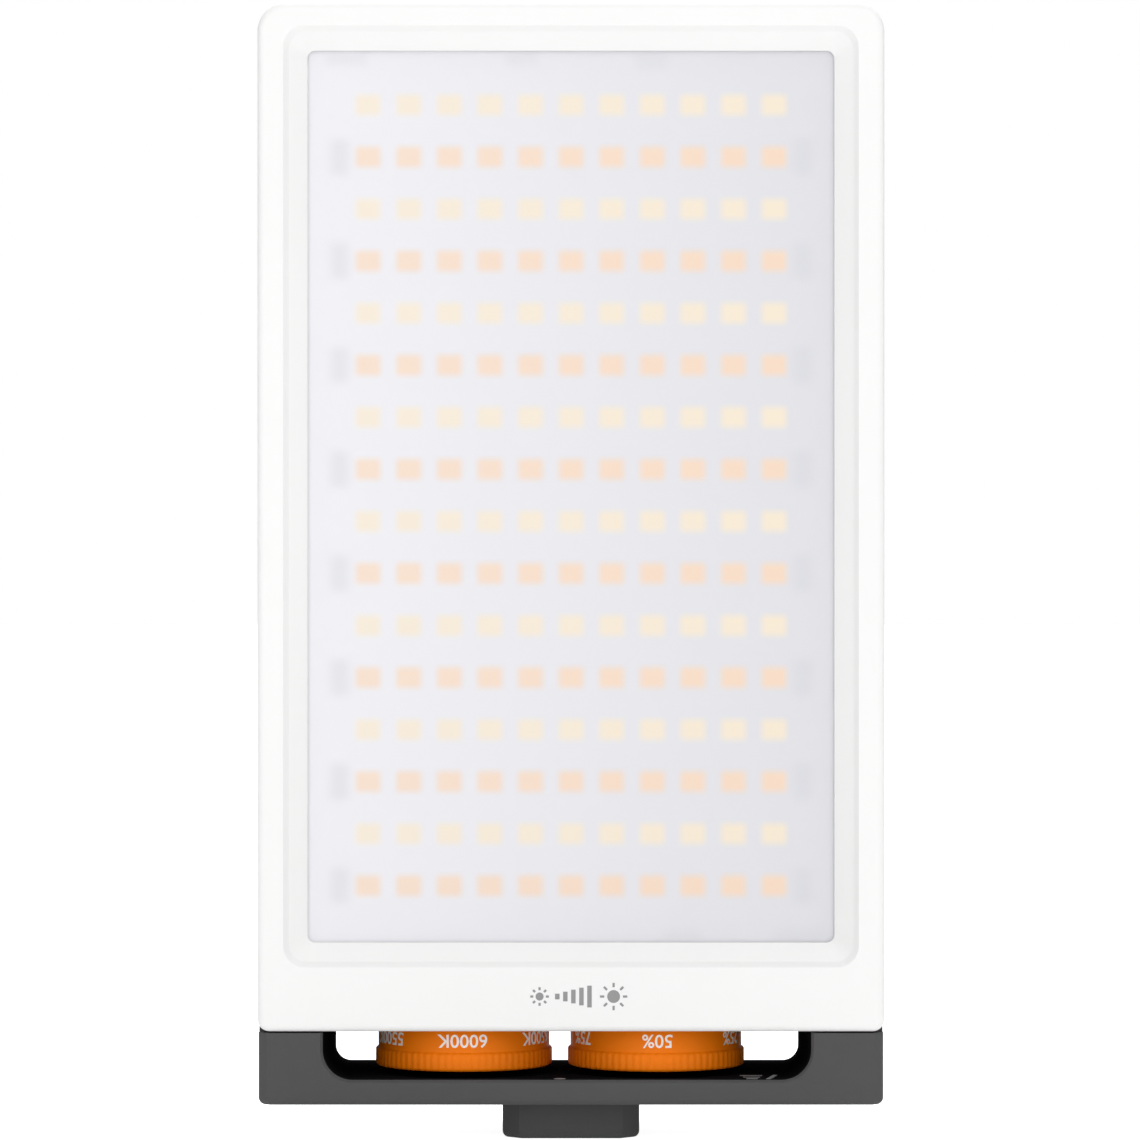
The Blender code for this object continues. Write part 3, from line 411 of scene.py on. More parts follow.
def from_nearest(nodes, links, steps, pitch):
    """Distance to the nearest whole step, in metres."""
    part = maths(nodes, links, "FRACT", maths(nodes, links, "ADD", steps, 0.5))
    return maths(nodes, links, "MULTIPLY", maths(nodes, links, "SUBTRACT", part, 0.5), pitch * MM)


def painted_show_through(nodes, links):
    """Colour of the milky sheet with painted light and shade: the LEDs in rows as lighter squares, the parts
    beside them as darker patches, lighter at the left and darker to the right, and painted shadows at its
    ends.
    """
    place = nodes.new("ShaderNodeTexCoord")
    axes = nodes.new("ShaderNodeSeparateXYZ")
    links.new(place.outputs["Object"], axes.inputs["Vector"])
    x, z = axes.outputs["X"], axes.outputs["Z"]
    left, right = OPENING["left"] * MM, OPENING["right"] * MM
    column = maths(nodes, links, "DIVIDE", x, SPOT_PITCH_X * MM)
    above_first = maths(nodes, links, "SUBTRACT", z, SPOT_FIRST_ROW * MM)
    row = maths(nodes, links, "DIVIDE", above_first, SPOT_PITCH_Z * MM)
    from_row = from_nearest(nodes, links, row, SPOT_PITCH_Z)
    row_number = maths(nodes, links, "FLOOR", maths(nodes, links, "ADD", row, 0.5))
    odd = maths(nodes, links, "MODULO", row_number, 2.0)
    even = maths(nodes, links, "SUBTRACT", 1.0, odd)
    in_rows = maths(nodes, links, "COMPARE", row, (LED_ROWS - 1) / 2, LED_ROWS / 2)

    # Painted light: the LEDs behind the sheet are painted into its colour as soft, lighter squares
    from_column = from_nearest(nodes, links, column, SPOT_PITCH_X)
    led = blurred_spot(nodes, links, from_column, from_row, SPOT_WIDTH / 2, SPOT_HEIGHT / 2, SPOT_BLUR)
    in_columns = maths(nodes, links, "COMPARE", column, 0.0, LED_COLUMNS / 2)
    led = maths(nodes, links, "MULTIPLY", led, maths(nodes, links, "MULTIPLY", in_rows, in_columns))
    led = maths(nodes, links, "MULTIPLY", led, ramp(nodes, links, x, left, right, *LED_STRENGTH))
    # Painted shade: the grey parts beside every warm row are painted into the sheet's colour as blurred
    # darker patches
    beside = maths(nodes, links, "SUBTRACT", maths(nodes, links, "ABSOLUTE", x), RESISTOR_X * MM)
    resistor = blurred_spot(nodes, links, beside, from_row, *RESISTOR_HALF_SIZE, RESISTOR_BLUR)
    resistor = maths(nodes, links, "MULTIPLY", resistor, maths(nodes, links, "MULTIPLY", in_rows, even))

    # Painted light and shade: the sheet is lighter at the left and darker towards the right
    colour = blend(nodes, links, ramp(nodes, links, x, left, right, 0.0, 1.0), SHEET_PAINTED_LIGHT_LEFT, SHEET_PAINTED_SHADE_RIGHT)
    shade = maths(nodes, links, "MULTIPLY", resistor, RESISTOR_STRENGTH)
    # Painted shadows of the parts behind the sheet's ends, as blurred darker patches
    for shadow_x, shadow_z, half_x, half_z in PAINTED_SHADOWS:
        across = maths(nodes, links, "SUBTRACT", x, shadow_x * MM)
        up = maths(nodes, links, "SUBTRACT", z, shadow_z * MM)
        shadow = blurred_spot(nodes, links, across, up, half_x, half_z, PAINTED_SHADOW_BLUR)
        shadow = maths(nodes, links, "MULTIPLY", shadow, PAINTED_SHADOW_STRENGTH)
        shade = maths(nodes, links, "MAXIMUM", shade, shadow)
    colour = blend(nodes, links, shade, colour, SHEET_SHADE)
    # Painted light of the LEDs: cool squares on the odd rows, warm ones on the even rows
    colour = blend(nodes, links, maths(nodes, links, "MULTIPLY", led, odd), colour, SHEET_OVER_COOL)
    return blend(nodes, links, maths(nodes, links, "MULTIPLY", led, even), colour, SHEET_OVER_WARM)


def frosted(name, colour, roughness):
    """Milky sheet with a fine matt grain. Little light goes through; the LEDs' soft squares and the sheet's
    light and shade are painted into its colour.
    """
    material, nodes, links, shader = new_material(name, colour, roughness)
    shader.inputs["Transmission Weight"].default_value = SHEET_TRANSMISSION
    shader.inputs["IOR"].default_value = 1.3
    grain = noise(nodes, links, 2500.0, 2.0)
    links.new(painted_show_through(nodes, links), shader.inputs["Base Color"])
    vary_roughness(nodes, links, shader, grain, roughness * 0.95, roughness * 1.05)
    add_bump(nodes, links, shader, grain, 0.003)
    return material


def phosphor(name, colour):
    """Silicone with phosphor grains."""
    material, nodes, links, shader = new_material(name, colour, 0.45)
    grains = noise(nodes, links, 5000.0, 3.0)
    vary_colour(nodes, links, shader, grains, colour, 0.06)
    add_bump(nodes, links, shader, grains, 0.004)
    return material


def make_plastics():
    """Plastics, prints, wires and the other parts with a moulded or pressed face."""
    return {
        "white": moulded("white_shell_plastic", (0.84, 0.84, 0.835), 0.42),
        "dark": moulded(
            "dark_frame_plastic", (0.079, 0.079, 0.08), 0.6, 0.3, 0.008, 0.05, Specular_IOR_Level=0.1
        ),
        "orange": moulded(
            "orange_dial_plastic", (1.0, 0.215, 0.003), 0.4, 0.4, 0.004, 0.04, Specular_IOR_Level=0.12
        ),
        # Painted shade: a near-black copy of the frame plastic without reflections, for the shaded inner
        # walls of the window and the dials' pockets
        "black": moulded("black_inner_plastic", (0.022, 0.022, 0.024), 0.5, 0.3, 0.008, 0.05),
        "window_shade": moulded(
            "window_painted_shade", (0.01, 0.01, 0.011), 0.6, 0.3, 0.008, 0.05, Specular_IOR_Level=0.0
        ),
        "reflector": moulded("reflector_white_plastic", (0.9, 0.9, 0.9), 0.6),
        "package": moulded("led_package_plastic", (0.88, 0.88, 0.86), 0.4, 0.2, 0.003),
        "label": moulded("dial_print", (1.0, 0.93, 0.87), 0.5, 0.15, 0.004, 0.06),
        "mark": moulded("grey_print", (0.27, 0.27, 0.27), 0.5, 0.15, 0.003, 0.05),
        "resistor": moulded("ceramic_part", (0.35, 0.36, 0.38), 0.35, 0.2, 0.003),
        "pad": moulded("thermal_pad", (0.42, 0.44, 0.48), 0.85, 0.6, 0.02, 0.06),
        "inductor": moulded("pressed_powder", (0.2, 0.2, 0.21), 0.7, 0.3, 0.01, 0.08),
        "wrap": moulded("cell_wrap", (0.02, 0.17, 0.22), 0.3, 0.8, 0.01, 0.05),
        "clear": moulded("light_pipe", (0.8, 0.86, 0.9), 0.2, 0.3, 0.002),
        "red_wire": moulded("red_insulation", (0.5, 0.015, 0.012), 0.4, 0.5, 0.006, 0.05),
        "black_wire": moulded("black_insulation", (0.015, 0.015, 0.016), 0.4, 0.5, 0.006, 0.05),
        "white_wire": moulded("white_insulation", (0.8, 0.8, 0.77), 0.4, 0.5, 0.006, 0.03),
    }


def make_light_engine_materials():
    """The sheet, the LEDs' phosphors and the circuit boards."""
    return {
        "frost": frosted("frosted_diffuser", (0.975, 0.98, 0.99), 0.4),
        "cool": phosphor("cool_phosphor", (1.0, 0.74, 0.40)),
        "warm": phosphor("warm_phosphor", (1.0, 0.55, 0.18)),
        "board_white": circuit_board("white_led_board", (0.70, 0.71, 0.75), (0.67, 0.68, 0.72)),
        "board_green": circuit_board("green_circuit_board", (0.012, 0.11, 0.05), (0.03, 0.2, 0.09), 600.0),
    }


def make_metals():
    return {
        "aluminium": metal("heat_sink_aluminium", (0.78, 0.79, 0.81), 0.34, (0.05, 1.0, 1.0)),
        "steel": metal("plated_steel", (0.62, 0.62, 0.64), 0.3),
        "nickel": metal("nickel_strip", (0.66, 0.64, 0.6), 0.32, (1.0, 1.0, 0.06)),
        "solder": metal("tinned_pads", (0.75, 0.75, 0.76), 0.35),
        "gold": metal("gold_contacts", (0.9, 0.66, 0.28), 0.25),
        "brass": metal("turned_brass", (0.76, 0.55, 0.24), 0.28, (1.0, 1.0, 6.0)),
    }


MATERIALS = {**make_plastics(), **make_light_engine_materials(), **make_metals()}


# ------ Shapes added to a bmesh, all in millimetres ------
def block(bm, low, high, axis=None, radius=0.0, steps=6):
    """A box between two corners. Its edges along one axis can be rounded, or chamfered by steps=1."""
    low, high = Vector(low) * MM, Vector(high) * MM
    place = Matrix.Translation((low + high) / 2) @ Matrix.Diagonal((*(high - low), 1.0))
    verts = bmesh.ops.create_cube(bm, size=1.0, matrix=place)["verts"]
    if radius:
        edges = {edge for vert in verts for edge in vert.link_edges}
        round_off(bm, [edge for edge in edges if runs_along(edge, "XYZ".index(axis))], radius, steps)


def with_slot(bm, slot, low, high):
    """A plain box in one of the object's materials."""
    first = len(bm.faces)
    block(bm, low, high)
    bm.faces.ensure_lookup_table()
    for face in bm.faces[first:]:
        face.material_index = slot


def runs_along(edge, index):
    """Whether an edge runs along the axis with this number."""
    direction = edge.verts[1].co - edge.verts[0].co
    return abs(direction[index]) > 0.999 * direction.length


def round_off(bm, edges, radius, steps):
    """Rounds edges in steps. One step makes a chamfer."""
    bmesh.ops.bevel(
        bm,
        geom=edges,
        offset=radius * MM,
        segments=steps,
        profile=0.5,
        affect="EDGES",
        clamp_overlap=True,
    )


def rod(bm, axis, centre, radius, start, end, sides=48):
    """A cylinder along an axis. centre gives the two other coordinates, in X, Y, Z order."""
    index = "XYZ".index(axis)
    middle = list(centre)
    middle.insert(index, (start + end) / 2)
    turn = {"X": Matrix.Rotation(math.pi / 2, 4, "Y"), "Y": Matrix.Rotation(-math.pi / 2, 4, "X")}
    place = Matrix.Translation(Vector(middle) * MM) @ turn.get(axis, Matrix.Identity(4))
    size = {"radius1": radius * MM, "radius2": radius * MM, "depth": (end - start) * MM}
    bmesh.ops.create_cone(bm, cap_ends=True, segments=sides, matrix=place, **size)


def loft(bm, sections, caps=True, slot=0):
    """A body through sections, which are loops of the same number of points."""
    rings = [[bm.verts.new(Vector(point) * MM) for point in section] for section in sections]
    faces = []
    for first, second in zip(rings, rings[1:]):
        for here in range(len(first)):
            after = (here + 1) % len(first)
            faces.append(bm.faces.new((first[here], first[after], second[after], second[here])))
    if caps:
        faces += [bm.faces.new(rings[0]), bm.faces.new(rings[-1])]
    for face in faces:
        face.material_index = slot
    return rings


def rounded_loop(left, right, bottom, top, radii, steps=8):
    """(x, z) points round a rectangle. radii are for bottom left, bottom right, top right and top left."""
    signs = ((-1, -1), (1, -1), (1, 1), (-1, 1))
    corners = ((left, bottom), (right, bottom), (right, top), (left, top))
    points = []
    for number, ((x, z), (sx, sz), radius) in enumerate(zip(corners, signs, radii)):
        for step in range(steps + 1):
            angle = math.pi + (number + step / steps) * math.pi / 2
            points.append(
                (x - sx * radius + radius * math.cos(angle), z - sz * radius + radius * math.sin(angle))
            )
    return points


def turns(count):
    """Evenly spaced angles round a full turn."""
    return [2 * math.pi * number / count for number in range(count)]


def circle(x, y, radius):
    return [(x + radius * math.cos(angle), y + radius * math.sin(angle)) for angle in turns(24)]


def rectangle(left, right, bottom, top):
    return [(left, bottom), (right, bottom), (right, top), (left, top)]


def ring(x, radius, z, sides, ribs=0, depth=0.0):
    """Points round an upright axis at (x, 0), in soft ribs if any are asked for."""
    points = []
    for angle in turns(sides):
        reach = radius - depth * (0.5 - 0.5 * math.cos(angle * ribs))
        points.append((x + reach * math.cos(angle), reach * math.sin(angle), z))
    return points


# ------ Objects ------
def shape(name, build, *materials):
    """Makes an object from a function that fills a bmesh with shapes."""
    bm = bmesh.new()
    build(bm)
    bmesh.ops.recalc_face_normals(bm, faces=bm.faces)
    mesh = bpy.data.meshes.new(name)
    bm.to_mesh(mesh)
    bm.free()
    obj = bpy.data.objects.new(name, mesh)
    bpy.context.scene.collection.objects.link(obj)
    for material in materials:
        mesh.materials.append(MATERIALS[material])
    return obj


def apply_modifiers(obj):
    """Keeps the modifiers' result as the object's own mesh, shaded smooth between its sharp edges."""
    graph = bpy.context.evaluated_depsgraph_get()
    mesh = bpy.data.meshes.new_from_object(obj.evaluated_get(graph))
    mesh.name = obj.name
    obj.modifiers.clear()
    obj.data = mesh
    mesh.shade_smooth()
    mesh.set_sharp_from_angle(angle=SHARP_ANGLE)
    return obj


def boolean(obj, build, operation):
    """Cuts or joins the shapes that a function makes."""
    tool = shape("tool", build)
    modifier = obj.modifiers.new("shape", "BOOLEAN")
    modifier.operation = operation
    modifier.object = tool
    modifier.solver = "EXACT"
    modifier.use_self = True
    apply_modifiers(obj)
    bpy.data.objects.remove(tool)
    return obj


def cut(obj, build):
    return boolean(obj, build, "DIFFERENCE")


def join(obj, build):
    return boolean(obj, build, "UNION")


def soften(obj, width, steps=2, angle=40.0):
    """Rounds the sharp edges a little, as a mould or a cutter leaves them."""
    bevel = obj.modifiers.new("edges", "BEVEL")
    bevel.width = width * MM
    bevel.segments = steps
    bevel.limit_method = "ANGLE"
    bevel.angle_limit = math.radians(angle)
    bevel.use_clamp_overlap = True
    return apply_modifiers(obj)


def place_piece(obj, body, slot, *nodes):
    """Puts a finished piece on its body, in place of the CAD nodes it stands for."""
    obj.data.shade_smooth()
    obj.data.set_sharp_from_angle(angle=SHARP_ANGLE)
    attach(obj, body)
    if nodes:
        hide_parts(*nodes)
    return obj


# ------ White shells ------
def shell_slab(bm, start, end, rim):
    """The body's rounded outline between two depths, with the rim of one face filleted."""
    block(bm, (-HALF_WIDTH, start, BODY_BOTTOM), (HALF_WIDTH, end, BODY_TOP))
    middle = (BODY_BOTTOM + BODY_TOP) / 2 * MM
    for radius, side in ((CORNER_RADIUS, 1), (LOWER_CORNER_RADIUS, -1)):
        picked = [
            edge
            for edge in bm.edges
            if runs_along(edge, 1) and side * (edge.verts[0].co.z - middle) > middle / 2
        ]
        round_off(bm, picked, radius, 12)
    on_rim = [edge for edge in bm.edges if all(abs(vert.co.y - rim * MM) < 1e-6 for vert in edge.verts)]
    round_off(bm, on_rim, EDGE_RADIUS, 6)


def recess(bm):
    """The stepped recess round the sheet, as one tool."""
    sections = []
    for margin, depth, radius in RECESS_STEPS:
        outline = rounded_loop(
            OPENING["left"] - margin,
            OPENING["right"] + margin,
            OPENING["bottom"] - margin,
            OPENING["top"] + margin,
            (radius,) * 4,
        )
        sections.append([(x, depth, z) for x, z in outline])
    loft(bm, sections)


def rib_places():
    """The middle of each cooling rib: heights along both sides, and X along the top."""
    side = [SIDE_RIBS_START + RIB_PITCH * number for number in range(SIDE_RIBS)]
    top = [RIB_PITCH * (number - (TOP_RIBS - 1) / 2) for number in range(TOP_RIBS)]
    return side, top


def vent_ribs(bm):
    """Low ribs across both sides and the top."""
    half, side_top, roof = RIB_WIDTH / 2, HOUSING_HIGH.x, HOUSING_HIGH.z
    side_places, top_places = rib_places()
    for place in side_places:
        for side in (-1, 1):
            inner, outer = sorted((side * (HALF_WIDTH - RIB_ROOT), side * side_top))
            low = (inner, -RIB_HALF_LENGTH, place - half)
            block(bm, low, (outer, RIB_HALF_LENGTH, place + half), "X", half - END_FLAT, 5)
    for place in top_places:
        low = (place - half, -RIB_HALF_LENGTH, BODY_TOP - RIB_ROOT)
        block(bm, low, (place + half, RIB_HALF_LENGTH, roof), "Z", half - END_FLAT, 5)


def vent_slots(bm):
    """Slots between the ribs, right through the wall."""
    half = SLOT_WIDTH / 2
    side_places, top_places = rib_places()
    for place in side_places[:-1]:
        middle = place + RIB_PITCH / 2
        for side in (-1, 1):
            inner, outer = sorted((side * (HALF_WIDTH - WALL - PAST), side * (HALF_WIDTH + PAST)))
            low = (inner, SLOT_FRONT, middle - half)
            block(bm, low, (outer, SLOT_BACK, middle + half), "X", half - END_FLAT, 5)
    for place in top_places[:-1]:
        middle = place + RIB_PITCH / 2
        low = (middle - half, SLOT_FRONT, BODY_TOP - WALL - PAST)
        block(bm, low, (middle + half, SLOT_BACK, BODY_TOP + PAST), "Z", half - END_FLAT, 5)


def make_front_housing():
    """White shell with its recess, ribs and slots, and holes for the controls and the frame's shoulders."""
    obj = shape("front_housing_shell", lambda bm: shell_slab(bm, FRONT, SEAM, FRONT), "white")
    join(obj, vent_ribs)

    def cavity(bm):
        half, top = HALF_WIDTH - WALL, BODY_TOP - WALL
        low = (-half, CAVITY_FRONT, CAVITY_BOTTOM)
        block(bm, low, (half, BACK + PAST, top), "Y", CORNER_RADIUS - WALL)

    def holes(bm):
        vent_slots(bm)
        rod(bm, "X", (BUTTON_Y, BUTTON_Z), BUTTON_RADIUS + BUTTON_GAP, *SIDE_HOLE, 64)
        for z in INDICATOR_Z:
            rod(bm, "X", (BUTTON_Y, z), INDICATOR_RADIUS, *SIDE_HOLE, 24)
        for side in (-1, 1):
            inner, outer = sorted((side * (SHOULDER_INNER - SHOULDER_GAP), side * (HALF_WIDTH + PAST)))
            low = (inner, SHOULDER_FRONT - SHOULDER_GAP, BODY_BOTTOM - PAST)
            block(bm, low, (outer, SEAM + PAST, SHOULDER_TOP + SHOULDER_GAP))
        near, far = SIDE_HOLE
        half_y, half_z = USB_HALF_SIZE
        low = (-far, USB_Y - half_y, USB_Z - half_z)
        block(bm, low, (-near, USB_Y + half_y, USB_Z + half_z), "X", USB_ROUNDING, 10)

    cut(obj, cavity)
    cut(obj, recess)
    cut(obj, holes)
    soften(obj, 0.08)
    return place_piece(obj, BODY, "housing_white", "front_housing")


def make_rear_cover():
    """Back shell with the fan's round grille of level slots and four sunk screw holes."""
    obj = shape("rear_cover_shell", lambda bm: shell_slab(bm, COVER_INNER, BACK, BACK), "white")
    inside, behind = COVER_CUT

    def holes(bm):
        half = GRILLE_HALF_SLOT
        for number in range(GRILLE_SLOTS):
            z = FAN_CENTRE_Z + GRILLE_PITCH * (number - (GRILLE_SLOTS - 1) // 2)
            reach = math.sqrt(FAN_BORE**2 - (z - FAN_CENTRE_Z) ** 2)
            low = (-reach, inside, z - half)
            block(bm, low, (reach, behind, z + half), "Y", half - END_FLAT, 6)
        for place in REAR_SCREWS:
            rod(bm, "Y", place, SCREW_HOLE_RADIUS, inside, behind, 32)
            rod(bm, "Y", place, SCREW_SINK_RADIUS, SCREW_SINK_FLOOR, behind, 48)

    cut(obj, holes)
    soften(obj, 0.1)
    return place_piece(obj, BODY, "housing_white", "rear_cover")


def make_mark():
    """A generic brightness symbol in grey print: a small sun, rising bars and a larger sun."""

    def flat(bm, outline):
        loft(bm, [[(x, y, z) for x, z in outline] for y in (HOUSING_LOW.y, FRONT + PRINT_THICKNESS)])

    def sun(bm, x, radius, reach):
        flat(bm, circle(x, MARK_Z, radius))
        half = MARK_RAY_HALF_WIDTH
        for angle in turns(MARK_RAYS):
            along = Vector((math.cos(angle), math.sin(angle)))
            across = Vector((-math.sin(angle), math.cos(angle)))
            ray = rectangle(reach * MARK_RAY_START, reach, -half, half)
            flat(bm, [tuple(Vector((x, MARK_Z)) + along * a + across * b) for a, b in ray])

    def build(bm):
        small, large = MARK_SUNS
        sun(bm, *small)
        for number in range(MARK_BARS):
            x, wide = MARK_FIRST_BAR_X + number, MARK_BAR_HALF_WIDTH
            first, rise = MARK_BAR_HALF_HEIGHTS
            tall = first + rise * number
            flat(bm, rectangle(x - wide, x + wide, MARK_Z - tall, MARK_Z + tall))
        sun(bm, *large)

    return place_piece(shape("brightness_mark", build, "mark"), BODY, "housing_white")


# ------ End frame, tripod insert and dials ------
def window_cutter(bm):
    """The long see-through window, with a rounded front edge and walls that draw in to the back."""
    sections = []
    for depth, inset, floor, radius in WINDOW_STEPS:
        outline = rounded_loop(
            WINDOW["left"] + inset,
            WINDOW["right"] - inset,
            floor,
            WEB_BOTTOM,
            (radius, radius, WINDOW_TOP_RADIUS, WINDOW_TOP_RADIUS),
            12,
        )
        sections.append([(x, depth, z) for x, z in outline])
    loft(bm, sections)


def paint_window_shade(obj):
    """Painted shade: gives the window's inner walls and the dials' pockets a near-black copy of the frame
    plastic that reflects nothing, in place of the shade inside them.
    """
    obj.data.materials.append(MATERIALS["window_shade"])
    for face in obj.data.polygons:
        centre = face.center / MM
        across = WINDOW["left"] - 0.1 < centre.x < WINDOW["right"] + 0.1
        upright = POCKET_FLOOR - 0.1 < centre.z < WEB_BOTTOM + 0.1
        if across and upright and abs(face.normal.y) < 0.5:
            face.material_index = 1


def make_end_frame():
    """Dark frame: the bar with its window and pockets, the boss, and the tongue inside the housing."""

    def outer(bm):
        low = (-FRAME_HALF_WIDTH, -FRAME_HALF_DEPTH, BAR_BOTTOM)
        block(bm, low, (FRAME_HALF_WIDTH, FRAME_HALF_DEPTH, FRAME_TOP), "Z", FRAME_EDGE_CHAMFER, 1)
        at_bottom = [edge for edge in bm.edges if all(v.co.z < BAR_BOTTOM * MM + 1e-6 for v in edge.verts)]
        round_off(bm, at_bottom, BOTTOM_ROUNDING, 6)

    obj = shape("end_frame_guard", outer, "dark")

    def boss_and_tongue(bm):
        half = BOSS_HALF_WIDTH
        block(bm, (-half, -half, 0.0), (half, half, BAR_BOTTOM + 0.6), "Z", BOSS_CHAMFER, 1)
        at_bottom = [edge for edge in bm.edges if all(v.co.z < 1e-6 for v in edge.verts)]
        round_off(bm, at_bottom, BOSS_ROUNDING, 6)
        low = (-TONGUE["half_width"], TONGUE["front"], FRAME_TOP - PAST)
        block(bm, low, (TONGUE["half_width"], TONGUE["back"], TONGUE["top"]))
        for side in (-1, 1):
            inner, outer_x = sorted((side * SHOULDER_INNER, side * FRAME_HALF_WIDTH))
            low = (inner, SHOULDER_FRONT, FRAME_TOP - PAST)
            block(bm, low, (outer_x, SEAM - SHOULDER_GAP, SHOULDER_TOP))

    join(obj, boss_and_tongue)

    def holes(bm):
        window_cutter(bm)
        for x in DIAL_AXES.values():
            rod(bm, "Z", (x, 0.0), SHAFT_HOLE_RADIUS, WEB_BOTTOM - PAST, TONGUE["top"] + PAST, 48)
            rod(bm, "Z", (x, 0.0), POCKET_RADIUS, POCKET_FLOOR, POCKET_TOP, 96)
        rod(bm, "Z", (0.0, 0.0), INSERT_RADIUS + 0.05, -PAST, INSERT_HOLE_TOP, 64)

    cut(obj, holes)
    paint_window_shade(obj)
    soften(obj, 0.12)
    return place_piece(obj, BODY, "frame_dark", "end_frame")


def make_frame_print():
    """Small printed symbols on the window's floor: a disc between the dials, and bars with a stroke."""
    tilt = (WINDOW["floor_back"] - WINDOW["floor_front"]) / (2 * FRAME_HALF_DEPTH)

    def floor_at(y):
        return WINDOW["floor_front"] + (y + FRAME_HALF_DEPTH) * tilt

    def flat(bm, outline):
        loft(bm, [[(x, y, floor_at(y) + lift) for x, y in outline] for lift in (-0.05, 0.03)])

    def build(bm):
        flat(bm, circle(*FLOOR_DISC))
        first, more = FLOOR_BAR_HALF_WIDTHS
        for number, y in enumerate(FLOOR_BARS_Y):
            half, deep = first + more * number, FLOOR_BAR_HALF_DEPTH
            flat(bm, rectangle(FLOOR_BARS_X - half, FLOOR_BARS_X + half, y - deep, y + deep))
        flat(bm, FLOOR_STROKE)

    return place_piece(shape("floor_symbols", build, "mark"), BODY, "frame_dark")


def make_tripod_insert():
    """Brass bush with a real thread inside and a chamfered mouth."""
    low, high = extent("tripod_insert")
    sides, per_turn = 64, 8
    rows = int((high.z - low.z - 2 * THREAD_MOUTH) / THREAD_PITCH * per_turn)

    def build(bm):
        wall = ring(0.0, INSERT_RADIUS, high.z, sides), ring(0.0, INSERT_RADIUS, low.z, sides)
        mouth = [ring(0.0, THREAD_RADIUS + THREAD_CHAMFER, low.z, sides)]
        for row in range(rows + 1):
            z = low.z + THREAD_MOUTH + row * THREAD_PITCH / per_turn
            points = []
            for step, angle in enumerate(turns(sides)):
                phase = (row / per_turn - step / sides) % 1.0
                reach = THREAD_RADIUS - THREAD_DEPTH * (1.0 - abs(2.0 * phase - 1.0))
                points.append((reach * math.cos(angle), reach * math.sin(angle), z))
            mouth.append(points)
        loft(bm, [*wall, *mouth, ring(0.0, THREAD_RADIUS - THREAD_DEPTH, high.z, sides)], caps=False)
        upper = [vert for vert in bm.verts if vert.co.z > (high.z - 0.001) * MM]
        bm.edges.ensure_lookup_table()
        loops = [edge for edge in bm.edges if edge.is_boundary and edge.verts[0] in upper]
        bmesh.ops.bridge_loops(bm, edges=loops)

    return place_piece(shape("threaded_insert", build, "brass"), BODY, "insert_brass", "tripod_insert")


def make_dial(name, x):
    """Dial with soft vertical ribs on its grip and a plain band above for the printed scale."""
    low, high = extent(f"{name}_dial")
    sides = GRIP_RIBS * 8

    def build(bm):
        def grip(radius, z):
            return ring(x, radius, z, sides, GRIP_RIBS, GRIP_RIB_DEPTH)

        sections = [ring(x, GRIP_RADIUS - 0.55, low.z, sides)]
        for step in range(1, 5):
            angle = step / 4 * math.pi / 2
            inset = GRIP_ROUNDING * (1 - math.sin(angle))
            lift = GRIP_ROUNDING * (1 - math.cos(angle))
            sections.append(grip(GRIP_RADIUS - inset, low.z + lift))
        sections.append(grip(GRIP_RADIUS, GRIP_TOP - 0.15))
        sections.append(grip(GRIP_RADIUS - 0.08, GRIP_TOP))
        sections.append(ring(x, SCALE_RADIUS + 0.04, GRIP_TOP + 0.12, sides))
        sections.append(ring(x, SCALE_RADIUS, GRIP_TOP + 0.22, sides))
        sections.append(ring(x, SCALE_RADIUS, high.z - 0.3, sides))
        sections.append(ring(x, SCALE_RADIUS - 0.1, high.z - 0.08, sides))
        sections.append(ring(x, SCALE_RADIUS - 0.35, high.z, sides))
        loft(bm, sections)

    obj = shape(f"{name}_dial_knob", build, "orange")

    def bore(bm):
        rod(bm, "Z", (x, 0.0), SHAFT_BORE["radius"], SHAFT_BORE["start"], high.z + PAST, 48)

    cut(obj, bore)
    return place_piece(obj, f"{name}_dial_body", "dial_orange", f"{name}_dial")


def label_mesh(text):
    """A label as a thin flat mesh, centred, with its height and width set. Returns (points, faces)."""
    curve = bpy.data.curves.new("label", "FONT")
    curve.body = text
    curve.align_x = "CENTER"
    curve.extrude = 0.03
    curve.offset = 0.012
    curve.resolution_u = 3
    holder = bpy.data.objects.new("label", curve)
    bpy.context.scene.collection.objects.link(holder)
    graph = bpy.context.evaluated_depsgraph_get()
    mesh = bpy.data.meshes.new_from_object(holder.evaluated_get(graph))
    bpy.data.objects.remove(holder)
    xs = [vert.co.x for vert in mesh.vertices]
    ys = [vert.co.y for vert in mesh.vertices]
    wide = LABEL_ADVANCE * len(text) / (max(xs) - min(xs))
    tall = LABEL_HEIGHT / (max(ys) - min(ys))
    middle_x, middle_y = (max(xs) + min(xs)) / 2, (max(ys) + min(ys)) / 2
    points = [((v.co.x - middle_x) * wide, (v.co.y - middle_y) * tall, v.co.z) for v in mesh.vertices]
    return points, [tuple(face.vertices) for face in mesh.polygons]


def make_dial_scale(name, x):
    """The printed scale, wrapped round the band. It reads the right way up with the dials at the top."""
    labels = DIAL_LABELS[name]
    front = labels.index(LABEL_AT_FRONT[name])

    def build(bm):
        for number, text in enumerate(labels):
            middle = -math.pi / 2 - (number - front) * LABEL_STEP
            points, faces = label_mesh(text)
            verts = []
            for along, up, out in points:
                angle = middle - along / SCALE_RADIUS
                reach = SCALE_RADIUS + out - 0.005
                place = (x + reach * math.cos(angle), reach * math.sin(angle), LABEL_Z - up)
                verts.append(bm.verts.new(Vector(place) * MM))
            for face in faces:
                bm.faces.new([verts[index] for index in face])

    return place_piece(shape(f"{name}_dial_scale", build, "label"), f"{name}_dial_body", "dial_orange")


